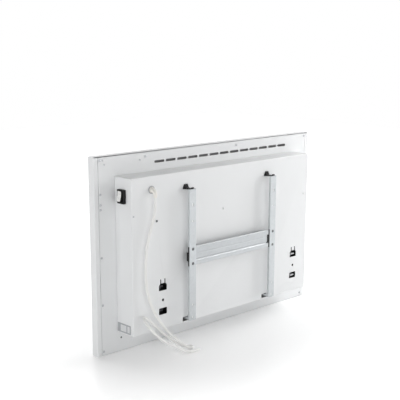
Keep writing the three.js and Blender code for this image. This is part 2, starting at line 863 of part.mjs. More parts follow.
// The cord inside the cover, from the gland through the clamp to the terminal block
const leadY = plateFloor + leadOffPlate;
const clampZ = glandZ - clampDrop;
const leadDepth = neckEnd - leadY;
addPiece('inner_lead', tube([
  [glandX, neckEnd - clearance, glandZ],
  [glandX, neckEnd - leadDepth / 6, glandZ],
  [glandX, leadY + leadDepth / 3, glandZ - leadDepth / 3],
  [glandX, leadY, glandZ - leadDepth],
  [glandX, leadY, clampZ],
  [glandX, leadY, terminalTop + clearance],
], cordDiameter / 2, cordSides, leadSteps), creamCable);

const clampTop = leadY + cordDiameter;
const clampScrewPlace = [glandX + (clampWidth + cordDiameter) / 4, clampZ];
function makeClamp() {
  const half = clampWidth / 2;
  const limits = [clampZ - clampHeight / 2, clampZ + clampHeight / 2];
  const bore = cordDiameter / 2 + clearance;
  return cut(block([glandX - half, glandX + half], [plateFloor, clampTop], limits), [
    rod('z', [glandX, leadY], limits[0] - overrun, limits[1] + overrun, bore, smallSides),
    rod('y', clampScrewPlace, clampTop - screwLength - overrun, clampTop + overrun,
      screwShankRadius + clearance, screwSides),
  ]);
}
addPiece('cord_clamp', makeClamp(), whitePlastic);
addPiece('clamp_screw', makeScrew(clampScrewPlace, clampTop), zincSteel);

// Terminal block with two rows of screw wells, placed as shares of its height
const terminalBack = leadY + terminalDepth / 2;
const terminalWellShares = [0.27, 0.73];
function makeTerminalBlock() {
  const half = terminalWidth / 2;
  const body = block(
    [glandX - half, glandX + half],
    [plateFloor, terminalBack],
    [terminalBottom, terminalTop],
  );
  const wells = [-1, 0, 1].flatMap((column) => terminalWellShares.map((share) => rod(
    'y',
    [glandX + column * terminalPitch, terminalTop - terminalHeight * share],
    terminalBack - terminalWellDepth,
    terminalBack + overrun,
    terminalWellRadius,
    screwSides,
  )));
  return cut(body, wells);
}
addPiece('terminal_block', makeTerminalBlock(), whitePlastic);

// Control tray, its board and what stands on the board, at shares of the tray's height
const trayMiddle = (trayLeft + trayRight) / 2;
const trayBack = plateFloor + trayDepth;
const relayShare = 0.66;
const capacitorShare = 0.32;
addPiece('control_tray', cut(
  block([trayLeft, trayRight], [plateFloor, trayBack], [trayBottom, trayTop]),
  [block(
    [trayLeft + trayWall, trayRight - trayWall],
    [plateFloor + trayWall, trayBack + overrun],
    [trayBottom + trayWall, trayTop - trayWall],
  )],
), whitePlastic);
const boardLegFront = plateFloor + trayWall + clearance;
const boardBack = boardLegFront + boardOffFloor + boardThickness;
function makeBoard() {
  const margin = trayWall + clearance;
  const legInset = margin + boardOffFloor;
  const board = block(
    [trayLeft + margin, trayRight - margin],
    [boardBack - boardThickness, boardBack],
    [trayBottom + margin, trayTop - margin],
  );
  const legs = [trayLeft + legInset, trayRight - legInset].flatMap((x) =>
    [trayBottom + legInset, trayTop - legInset].map((z) =>
      rod('y', [x, z], boardLegFront, boardBack - boardThickness / 2, boardOffFloor / 2, nutSides)));
  return join([board, ...legs]);
}
addPiece('control_board', makeBoard(), boardMaterial);
const onBoard = boardBack + clearance;
const relayBottom = trayBottom + trayHeight * relayShare;
addPiece('control_relay', block(
  [trayMiddle - relayWidth / 2, trayMiddle + relayWidth / 2],
  [onBoard, onBoard + relayDepth],
  [relayBottom, relayBottom + relayHeight],
), relayMaterial);
addPiece('control_capacitor', rod(
  'x',
  [onBoard + capacitorRadius, trayBottom + trayHeight * capacitorShare],
  trayMiddle - capacitorLength / 2,
  trayMiddle + capacitorLength / 2,
  capacitorRadius,
  smallSides,
), blackPlastic);

// Finned element: a core with fins all round
function makeElement() {
  const outline = [];
  const half = elementFinWidth / 2;
  const root = elementCoreRadius * Math.cos(Math.asin(half / elementCoreRadius));
  for (let i = 0; i < elementFins; i += 1) {
    const angle = (2 * Math.PI * (i + 0.5)) / elementFins;
    const [cos, sin] = [Math.cos(angle), Math.sin(angle)];
    for (const [reach, side] of [[root, -1], [elementFinReach, -1], [elementFinReach, 1], [root, 1]]) {
      const across = side * half;
      outline.push([elementY + cos * reach - sin * across, elementZ + sin * reach + cos * across]);
    }
  }
  return prism('x', outline, elementEnds.right, elementEnds.left);
}
addPiece('finned_element', makeElement(), finMaterial);

// Insulators at the element's ends, each through a bracket plate with a foot on the back plate
function addElementEnd(name, side) {
  const place = [elementY, elementZ];
  const start = elementEnds[name] + side * clearance;
  const ends = [start, start + side * insulatorLength];
  addPiece(`element_insulator_${name}`, rod('x', place, Math.min(...ends), Math.max(...ends),
    insulatorRadius, smallSides), ceramicMaterial);
  const middle = (ends[0] + ends[1]) / 2;
  const half = supportSheet / 2;
  const zLimits = [elementZ - supportHeight / 2, elementZ + supportHeight / 2];
  const footEnds = [middle, middle + side * supportFootLength];
  const support = join([
    block([middle - half, middle + half], [plateFloor, elementY + insulatorRadius * 2], zLimits),
    block([Math.min(...footEnds), Math.max(...footEnds)], [plateFloor, plateFloor + supportSheet], zLimits),
  ]);
  const hole = rod('x', place, middle - half - overrun, middle + half + overrun,
    insulatorRadius + clearance, smallSides);
  addPiece(`element_support_${name}`, cut(support, [hole]), zincSteel);
}
addElementEnd('left', 1);
addElementEnd('right', -1);

// Safety cut-out on the plate, and the room sensor in its moulded holder
const cutoutX = trayLeft - cutoutFromTray;
const cutoutZ = elementZ + cutoutRise;
addPiece('thermal_cutout', rod('y', [cutoutX, cutoutZ], plateFloor, plateFloor + cutoutHeight,
  cutoutRadius), ceramicMaterial);
const sensorX = trayLeft - sensorFromTray;
const sensorY = plateFloor + sensorHolderSize;
const sensorZ = coverBottom + coverSheet + sensorFromBottom;
const sensorTop = sensorZ + sensorLength / 2;
addPiece('room_sensor', join([
  block(
    [sensorX - sensorHolderSize / 2, sensorX + sensorHolderSize / 2],
    [plateFloor, sensorY + sensorRadius / 2],
    [sensorZ - sensorHolderSize / 2, sensorZ + sensorHolderSize / 2],
  ),
  rod('z', [sensorX, sensorY], sensorZ - sensorLength / 2, sensorTop, sensorRadius, screwSides),
]), blackPlastic);

// Inner leads, each from one terminal to the next
const lead = (points) => tube(points, leadRadius, leadSides, leadSteps);
const upperBladeZ = bladeHeights.switch_blade_upper;
const lowerBladeZ = bladeHeights.switch_blade_lower;
const bladeWireX = bladeEnd - clearance;
const switchLeadX = glandX + clampWidth / 2 + cordDiameter;
const switchDrop = lowerBladeZ - terminalTop;
addPiece('switch_lead', join([
  lead([
    [bladeWireX, switchY, lowerBladeZ],
    [bladeWireX - leadRadius, switchY, lowerBladeZ],
    [switchLeadX, switchY, lowerBladeZ - switchDrop / 5],
    [switchLeadX, (switchY + leadY) / 2, lowerBladeZ - switchDrop / 2],
    [glandX + terminalPitch, leadY, terminalTop + switchDrop / 8],
    [glandX + terminalPitch, leadY, terminalTop + clearance],
  ]),
  lead([
    [bladeWireX, switchY, upperBladeZ],
    [bladeWireX - leadRadius, switchY, upperBladeZ],
    [switchLeadX, switchY, lowerBladeZ],
    [switchLeadX, switchY, lowerBladeZ - switchDrop / 5],
  ]),
]), wireMaterial);

const trayLeadY = plateFloor + trayDepth / 2;
addPiece('control_lead', rod('z', [glandX, trayLeadY], trayTop + clearance,
  terminalBottom - clearance, leadRadius, leadSides), wireMaterial);

const trayWireX = trayLeft - clearance;
const elementWireX = elementEnds.left + insulatorReach + clearance;
const wireBendX = (trayWireX + elementWireX) / 2;
const trayMiddleZ = (trayBottom + trayTop) / 2;
addPiece('element_lead', join([
  lead([
    [trayWireX, trayLeadY, trayMiddleZ],
    [trayWireX - leadRadius * 2, trayLeadY, trayMiddleZ],
    [wireBendX, (trayLeadY + elementY) / 2, (trayMiddleZ + elementZ) / 2],
    [elementWireX + leadRadius * 2, elementY, elementZ],
    [elementWireX, elementY, elementZ],
  ]),
  lead([
    [trayWireX, trayLeadY, trayMiddleZ],
    [trayWireX - leadRadius * 2, trayLeadY, trayMiddleZ],
    [wireBendX, trayLeadY, (trayMiddleZ + elementZ) / 2],
    [wireBendX, (trayLeadY + plateFloor) / 2, elementZ],
    [cutoutX, plateFloor + cutoutHeight / 2, cutoutZ - cutoutRadius - leadRadius * 3],
    [cutoutX, plateFloor + cutoutHeight / 2, cutoutZ - cutoutRadius - clearance],
  ]),
]), wireMaterial);

addPiece('film_lead', lead([
  [wireHoleX, filmBack + clearance, wireHoleZ],
  [wireHoleX, yPlate, wireHoleZ],
  [wireHoleX, plateFloor + plateSheet * 3, wireHoleZ],
  [(wireHoleX * 2 + trayWireX) / 3, trayLeadY, wireHoleZ],
  [trayWireX, trayLeadY, wireHoleZ],
]), wireMaterial);

const sensorEntryZ = trayBottom + sensorEntryRise;
addPiece('sensor_lead', lead([
  [sensorX, sensorY, sensorTop + clearance],
  [sensorX, sensorY, (sensorTop * 3 + sensorEntryZ) / 4],
  [(sensorX + trayWireX) / 2, sensorY, (sensorTop + sensorEntryZ * 3) / 4],
  [trayWireX - leadRadius * 3, sensorY, sensorEntryZ],
  [trayWireX, sensorY, sensorEntryZ],
]), wireMaterial);

// Wall bracket uprights: identical channels, open towards the heater, with a hook at the foot
const faceFront = yWall - bracketSheet;
const barFace = yWall - barRecess;
const tongueLimitsY = [barFace - barSheet - clearance, barFace + clearance];
const tongueLimitsZ = [barMiddle - tongueHeight / 2 - clearance, barMiddle + tongueHeight / 2 + clearance];
const boltHeights = {
  upper: barMiddle + boltSpacing / 2,
  lower: barMiddle - boltSpacing / 2,
};
// Fixing holes and fixing slots, as shares of the upright's height above its foot
const fixingHoleShares = [0.122, 0.762];
const fixingSlotShares = [0.022, 0.885];
const upright = {
  sides: (x) => [x - uprightWidth / 2, x + uprightWidth / 2],
  inside: (x) => [x - uprightWidth / 2 + bracketSheet, x + uprightWidth / 2 - bracketSheet],
};
function makeUpright(x) {
  const [right, left] = upright.sides(x);
  const [innerRight, innerLeft] = upright.inside(x);
  const channel = cut(block([right, left], [yWall - uprightFlange, yWall], [uprightBottom, uprightTop]), [
    block(
      [innerRight, innerLeft],
      [yWall - uprightFlange - overrun, faceFront],
      [uprightBottom - overrun, uprightTop + overrun],
    ),
  ]);
  const through = [faceFront - overrun, yWall + overrun];
  const heightAt = (share) => uprightBottom + share * uprightHeight;
  const holes = fixingHoleShares.map((share) =>
    rod('y', [x, heightAt(share)], ...through, fixingHoleRadius, smallSides));
  const slots = fixingSlotShares.map((share) => {
    const lying = slotOutline([heightAt(share), x], fixingSlotLength, fixingHoleRadius * 2);
    return prism('y', lying.map(([z, across]) => [across, z]), ...through);
  });
  const boltHoles = Object.values(boltHeights).map((z) =>
    rod('y', [x, z], ...through, boltHeadRadius + clearance, smallSides));
  const window = block(
    [innerLeft - overrun, left + overrun],
    [yWall - uprightFlange - overrun, faceFront],
    [barMiddle - connectorHeight / 2 - clearance, barMiddle + connectorHeight / 2 + clearance],
  );
  const tongueSlot = block([right - overrun, innerRight + overrun], tongueLimitsY, tongueLimitsZ);
  const noseBack = yInside - hookNoseGap;
  const noseFront = noseBack - bracketSheet;
  const hookLimits = [x - hookWidth / 2, x + hookWidth / 2];
  return join([
    cut(channel, [...holes, ...slots, ...boltHoles, window, tongueSlot]),
    block(hookLimits, [noseFront, yWall], [uprightBottom, uprightBottom + bracketSheet]),
    block(hookLimits, [noseFront, noseBack], [uprightBottom, tiltAxisZ + hookNoseRise]),
  ]);
}

// Connector in an upright, with a boss that stands out of its left flange
const connectorBack = faceFront - clearance;
const connectorFront = connectorBack - connectorThickness;
function makeConnector(x) {
  const [, left] = upright.sides(x);
  const [innerRight] = upright.inside(x);
  const body = block(
    [innerRight + clearance, left],
    [connectorFront, connectorBack],
    [barMiddle - connectorHeight / 2, barMiddle + connectorHeight / 2],
  );
  const boss = block(
    [left - connectorThickness, left + bossProud],
    [connectorFront, connectorBack],
    [barMiddle - bossHeight / 2, barMiddle + bossHeight / 2],
  );
  const tongueRoom = block(
    [innerRight, innerRight + tongueReach + clearance],
    [tongueLimitsY[0], connectorBack + overrun],
    tongueLimitsZ,
  );
  const boltHoles = Object.values(boltHeights).map((z) => rod('y', [x, z], connectorFront - overrun,
    connectorBack + overrun, boltShankRadius + clearance, smallSides));
  return cut(body.add(boss), [tongueRoom, ...boltHoles]);
}

// Bolt from the upright's wall face into the connector, its head just below the face
function makeBolt(x, z) {
  return join([
    rod('y', [x, z], connectorFront, faceFront, boltShankRadius, smallSides),
    rod('y', [x, z], connectorBack + clearance / 2, yWall - clearance, boltHeadRadius, smallSides),
  ]);
}

// Lock: a slider at the upright's top with a nose through the cover and a tooth that hooks up
// behind it. As drawn it is let down, so the bracket can swing.
const lockSeat = clearance * 2;
const lockBottom = lockOpeningBottom + lockSeat;
function makeLock(x) {
  const [innerRight, innerLeft] = upright.inside(x);
  const bodyBack = faceFront - clearance;
  const bodyFront = bodyBack - lockBodyThickness;
  const nose = [x - lockNoseWidth / 2, x + lockNoseWidth / 2];
  const toothBack = yInside - lockToothGap;
  const toothFront = toothBack - lockToothThickness;
  const toothTop = lockOpeningBottom + lockOpeningHeight - lockSeat * 2;
  const shieldFront = yCover + lockShieldGap;
  const shield = trapezium(x, lockBottom, lockOpeningBase - lockSeat, lockOpeningTop,
    lockOpeningHeight - lockSeat);
  const thumbTop = uprightTop + lockThumbRise;
  return join([
    block([innerRight + clearance, innerLeft - clearance], [bodyFront, bodyBack],
      [uprightTop - lockBodyHeight, uprightTop - lockBodyDrop]),
    block(nose, [bodyFront, bodyBack], [uprightTop - lockBodyHeight, thumbTop]),
    block(nose, [bodyFront, yWall - clearance], [uprightTop + clearance, thumbTop]),
    block(nose, [toothFront, bodyBack], [lockBottom, lockBottom + lockNoseHeight]),
    block(nose, [toothFront, toothBack], [lockBottom, toothTop]),
    prism('y', shield, shieldFront, shieldFront + lockShieldThickness),
  ]);
}

for (const [name, x] of Object.entries(uprightPlaces)) {
  addPiece(`upright_${name}`, makeUpright(x), galvanised, bracket);
  addPiece(`bar_connector_${name}`, makeConnector(x), blackPlastic, bracket);
  addPiece(`lock_${name}`, makeLock(x), blackPlastic, bracket);
  for (const [level, z] of Object.entries(boltHeights)) {
    addPiece(`bar_bolt_${name}_${level}`, makeBolt(x, z), darkScrew, bracket);
  }
}

// Crossbar: one ribbed sheet with its edges turned in. Its section runs up the bar, in shares of
// the bar's height and of its ribs' rise.
const barSectionShares = [
  [0, 0], [0.11, 0], [0.15, -1], [0.25, -1], [0.31, 1], [0.36, 1], [0.42, -1],
  [0.55, -1], [0.6, 0], [0.72, 0], [0.77, -1], [0.88, -1], [0.93, 0], [1, 0],
];
function makeCrossbar() {
  const back = barSectionShares.map(([up, out]) => [barFace + out * barRibRise, barBottom + up * barHeight]);
  const front = back.slice(1, -1).map(([y, z]) => [y - barSheet, z]).reverse();
  const barTop = barBottom + barHeight;
  const edge = barFace - barReturn;
  const section = [
    ...back,
    [edge, barTop],
    [edge, barTop - barSheet],
    [barFace - barSheet, barTop - barSheet],
    ...front,
    [barFace - barSheet, barBottom + barSheet],
    [edge, barBottom + barSheet],
    [edge, barBottom],
  ];
  const [leftFlange] = upright.sides(uprightPlaces.left);
  const [, rightFlange] = upright.sides(uprightPlaces.right);
  const leftEnd = leftFlange - clearance;
  const rightEnd = rightFlange + clearance;
  const tongue = block(
    [leftEnd - tongueReach, leftEnd + bracketSheet + tongueReach],
    [barFace - barSheet, barFace],
    [barMiddle - tongueHeight / 2, barMiddle + tongueHeight / 2],
  );
  const notch = block(
    [rightEnd - overrun, rightFlange + bossProud + clearance],
    [connectorFront - overrun, yWall],
    [barMiddle - bossHeight / 2 - clearance, barMiddle + bossHeight / 2 + clearance],
  );
  return cut(prism('x', section, rightEnd, leftEnd).add(tongue), [notch]);
}
addPiece('crossbar', makeCrossbar(), galvanised, bracket);

// Power cord as it lies: down from the boot to a tight fold on the floor, up again to a wider one
// against the cover's foot and down to its end
const cordRoute = [
  [237, 38.5, 350], [236.5, 38, 334], [238, 37, 315], [244, 36, 294], [252.5, 36, 270],
  [260, 36, 240], [263.5, 36, 206], [263.5, 36.5, 168], [257.5, 38.5, 130], [247, 42, 100],
  [234, 47, 75], [219.5, 52, 54], [204, 56, 36.2], [188.8, 61, 21.5], [177, 66, 10.8],
  [168, 70, 4.8], [161.5, 71, 3.4], [155.8, 68.5, 3.4], [153.8, 63.6, 3.4], [157.3, 59, 3.4],
  [164.5, 56.2, 3.8], [174.5, 52, 7.4], [184, 45.2, 13.8], [194.5, 38.6, 23.2], [207, 33.5, 35.4],
  [220.5, 30.6, 49], [236.5, 29.4, 64], [253, 29.6, 79.5], [268.5, 36, 89.5], [280.5, 51, 88.5],
  [282, 67, 76.5], [272, 75, 62], [259, 77, 49.5], [245.5, 78, 38.2], [231.5, 79, 29.8],
  [215, 81.2, 19.6], [200.5, 83.8, 10.2], [189.8, 85.3, 4.4], [179.3, 86.4, 3.3],
];
addPiece('power_cord', tube(cordRoute, cordDiameter / 2, cordSides, cordSteps), creamCable);

// Sleeve over the cord's bare cores, lying on the floor
const sleeveRoute = [[178.9, 86.45, 3.25], [166, 87.6, 2.75], [152.6, 87.3, 2.7]];
addPiece('cord_end_sleeve', tube(sleeveRoute, endSleeveRadius, cordSides, sleeveSteps), whitePlastic);

export default heater;
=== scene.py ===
import math

import bmesh
import bpy
from mathutils import Matrix, Vector


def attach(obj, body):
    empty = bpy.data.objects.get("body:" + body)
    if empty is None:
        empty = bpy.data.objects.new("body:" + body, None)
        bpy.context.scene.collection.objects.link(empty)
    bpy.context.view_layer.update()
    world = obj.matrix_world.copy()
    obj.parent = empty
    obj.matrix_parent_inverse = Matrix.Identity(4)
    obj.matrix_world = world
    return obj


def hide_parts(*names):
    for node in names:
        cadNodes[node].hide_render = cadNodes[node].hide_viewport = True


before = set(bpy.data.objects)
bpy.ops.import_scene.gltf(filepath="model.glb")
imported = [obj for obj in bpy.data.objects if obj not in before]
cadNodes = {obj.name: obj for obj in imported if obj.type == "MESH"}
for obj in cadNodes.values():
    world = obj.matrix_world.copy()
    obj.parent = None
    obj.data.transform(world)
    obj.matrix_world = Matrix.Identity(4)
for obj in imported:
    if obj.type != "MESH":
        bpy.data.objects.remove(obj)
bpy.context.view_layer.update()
print("frame loaded:", len(cadNodes), "nodes")

mm = 0.001
blockAxes = {"x": (1, 2, 0), "y": (0, 2, 1), "z": (0, 1, 2)}

# depths of the main faces, from the heating front to the wall, in mm
depths = {"front": -49.0, "plate": -29.6, "coverInside": 24.2, "cover": 25.2, "wall": 49.0}


def newObject(name, data):
    made = bpy.data.objects.new(name, data)
    bpy.context.scene.collection.objects.link(made)
    return made


# camera: where the photographer stood
viewpoint = {
    "place": (1.4813, 1.4604, 0.7012), "yaw": 0.76909, "pitch": -0.23615, "roll": 0.00284,
    "lens": 81.377, "sensor": 36.0, "shiftUp": 0.1125, "clipStart": 0.01,
}


def placeCamera():
    yaw, pitch, roll = viewpoint["yaw"], viewpoint["pitch"], viewpoint["roll"]
    ahead = Vector((-math.sin(yaw) * math.cos(pitch), -math.cos(yaw) * math.cos(pitch), math.sin(pitch)))
    level = Vector((-math.cos(yaw), math.sin(yaw), 0))
    upright = level.cross(ahead)
    right = math.cos(roll) * level + math.sin(roll) * upright
    up = math.cos(roll) * upright - math.sin(roll) * level
    lens = bpy.data.cameras.new("camera")
    lens.lens = viewpoint["lens"]
    lens.sensor_width = viewpoint["sensor"]
    lens.shift_y = viewpoint["shiftUp"]
    lens.clip_start = viewpoint["clipStart"]
    camera = newObject("camera", lens)
    turn = Matrix((right, up, -ahead)).transposed().to_4x4()
    camera.matrix_world = Matrix.Translation(viewpoint["place"]) @ turn
    bpy.context.scene.camera = camera


placeCamera()
print("camera placed")


# shader groups that several finishes share

def newTree(kind, name, inputs, outputs):
    # a socket is given as its kind, or as a number where it has a default
    tree = bpy.data.node_groups.new(name, kind)
    for label, value in inputs.items():
        socket = value if isinstance(value, str) else "Int" if isinstance(value, int) else "Float"
        made = tree.interface.new_socket(label, in_out="INPUT", socket_type="NodeSocket" + socket)
        if socket != value:
            made.default_value = value
    for label, socket in outputs.items():
        tree.interface.new_socket(label, in_out="OUTPUT", socket_type="NodeSocket" + socket)
    return tree, tree.nodes.new("NodeGroupInput").outputs


def addNode(tree, kind, settings=None, inputs=None):
    # an input is either a value or the socket that it is linked to
    made = tree.nodes.new(kind)
    for key, value in (settings or {}).items():
        setattr(made, key, value)
    for key, value in (inputs or {}).items():
        if isinstance(value, bpy.types.NodeSocket):
            tree.links.new(value, made.inputs[key])
        else:
            made.inputs[key].default_value = value
    return made


def calculate(tree, operation, *values, clamp=False):
    settings = {"operation": operation, "use_clamp": clamp}
    return addNode(tree, "ShaderNodeMath", settings, dict(enumerate(values))).outputs[0]


def mapRange(tree, value, source=(0.0, 1.0), target=(0.0, 1.0), kind="LINEAR"):
    return addNode(tree, "ShaderNodeMapRange", {"interpolation_type": kind}, {
        "Value": value, "From Min": source[0], "From Max": source[1],
        "To Min": target[0], "To Max": target[1],
    }).outputs["Result"]


def addNoise(tree, place, scale, detail, roughness=0.5):
    return addNode(tree, "ShaderNodeTexNoise", None, {
        "Vector": place, "Scale": scale, "Detail": detail, "Roughness": roughness,
    }).outputs


def scaledPlace(tree, given):
    place = addNode(tree, "ShaderNodeTexCoord").outputs["Object"]
    return place, calculate(tree, "DIVIDE", 1.0, given["Size"])


def varied(tree, value, amount):
    # a value from 0 to 1, as a gain round 1
    return calculate(tree, "MULTIPLY_ADD", calculate(tree, "SUBTRACT", value, 0.5), amount, 1.0)


def endGroup(tree, values):
    addNode(tree, "NodeGroupOutput", None, values)
    return tree


def makeToneDrift():
    # slow change of a colour's lightness over the surface
    tree, given = newTree("ShaderNodeTree", "toneDrift", {"Color": "Color", "Drift": 0.05, "Size": 0.15},
                          {"Color": "Color"})
    noise = addNoise(tree, *scaledPlace(tree, given), 3.0, 0.55)
    shade = addNode(tree, "ShaderNodeHueSaturation", None, {
        "Value": varied(tree, noise["Fac"], given["Drift"]), "Color": given["Color"],
    })
    return endGroup(tree, {"Color": shade.outputs["Color"]})


def makeSurfaceGrain():
    # fine grain of a coat or a moulding, with a coarser wave under it
    tree, given = newTree("ShaderNodeTree", "surfaceGrain", {"Size": 0.0008, "Wave": 0.3},
                          {"Height": "Float", "Speckle": "Float"})
    place, scale = scaledPlace(tree, given)
    fine = addNoise(tree, place, scale, 2.0, 0.6)["Fac"]
    wave = addNoise(tree, place, calculate(tree, "MULTIPLY", scale, 0.12), 1.0)["Fac"]
    mixed = addNode(tree, "ShaderNodeMix", {"data_type": "FLOAT"}, {
        "Factor": given["Wave"], "A": fine, "B": wave,
    })
    return endGroup(tree, {"Height": mixed.outputs["Result"], "Speckle": mapRange(tree, fine, (0.35, 0.65))})


def makeMask(name, amount, size, detail, roughness, shapeOf):
    # where a face's shape asks for it, broken up by noise
    tree, given = newTree("ShaderNodeTree", name, {"Amount": amount, "Size": size}, {"Mask": "Float"})
    noise = addNoise(tree, *scaledPlace(tree, given), detail, roughness)
    shape = shapeOf(tree, addNode(tree, "ShaderNodeNewGeometry").outputs)
    broken = calculate(tree, "MULTIPLY", shape, noise["Fac"])
    return endGroup(tree, {"Mask": calculate(tree, "MULTIPLY", broken, given["Amount"], clamp=True)})


# convex edges, where wear rubs; on the crossbar's finish this is also where a highlight is painted
def outerEdges(tree, geometry):
    return mapRange(tree, geometry["Pointiness"], (0.53, 0.64))


def upperFaces(tree, geometry):
    parts = addNode(tree, "ShaderNodeSeparateXYZ", None, {"Vector": geometry["Normal"]})
    return mapRange(tree, parts.outputs["Z"], (0.3, 1.0))


def makeZincSpangle():
    # flat crystals of zinc, each with its own lightness and gloss
    tree, given = newTree("ShaderNodeTree", "zincSpangle", {"Size": 0.004, "Contrast": 0.2},
                          {"Lightness": "Float", "Gloss": "Float"})
    place, scale = scaledPlace(tree, given)
    warp = addNoise(tree, place, calculate(tree, "MULTIPLY", scale, 0.8), 2.0)
    pushed = addNode(tree, "ShaderNodeVectorMath", {"operation": "MULTIPLY_ADD"}, {
        0: warp["Color"], 1: (0.002, 0.002, 0.002), 2: place,
    })
    cells = addNode(tree, "ShaderNodeTexVoronoi", None, {"Vector": pushed.outputs["Vector"], "Scale": scale})
    tone = addNode(tree, "ShaderNodeSeparateColor", None, {"Color": cells.outputs["Color"]}).outputs
    return endGroup(tree, {"Lightness": varied(tree, tone["Red"], given["Contrast"]), "Gloss": tone["Green"]})


groups = {
    "toneDrift": makeToneDrift(),
    "surfaceGrain": makeSurfaceGrain(),
    "edgeWear": makeMask("edgeWear", 0.5, 0.006, 4.0, 0.7, outerEdges),
    "settledDust": makeMask("settledDust", 0.3, 0.03, 5.0, 0.65, upperFaces),
    "zincSpangle": makeZincSpangle(),
}


# finishes; lengths in metres, and what one leaves out is as in plainLook

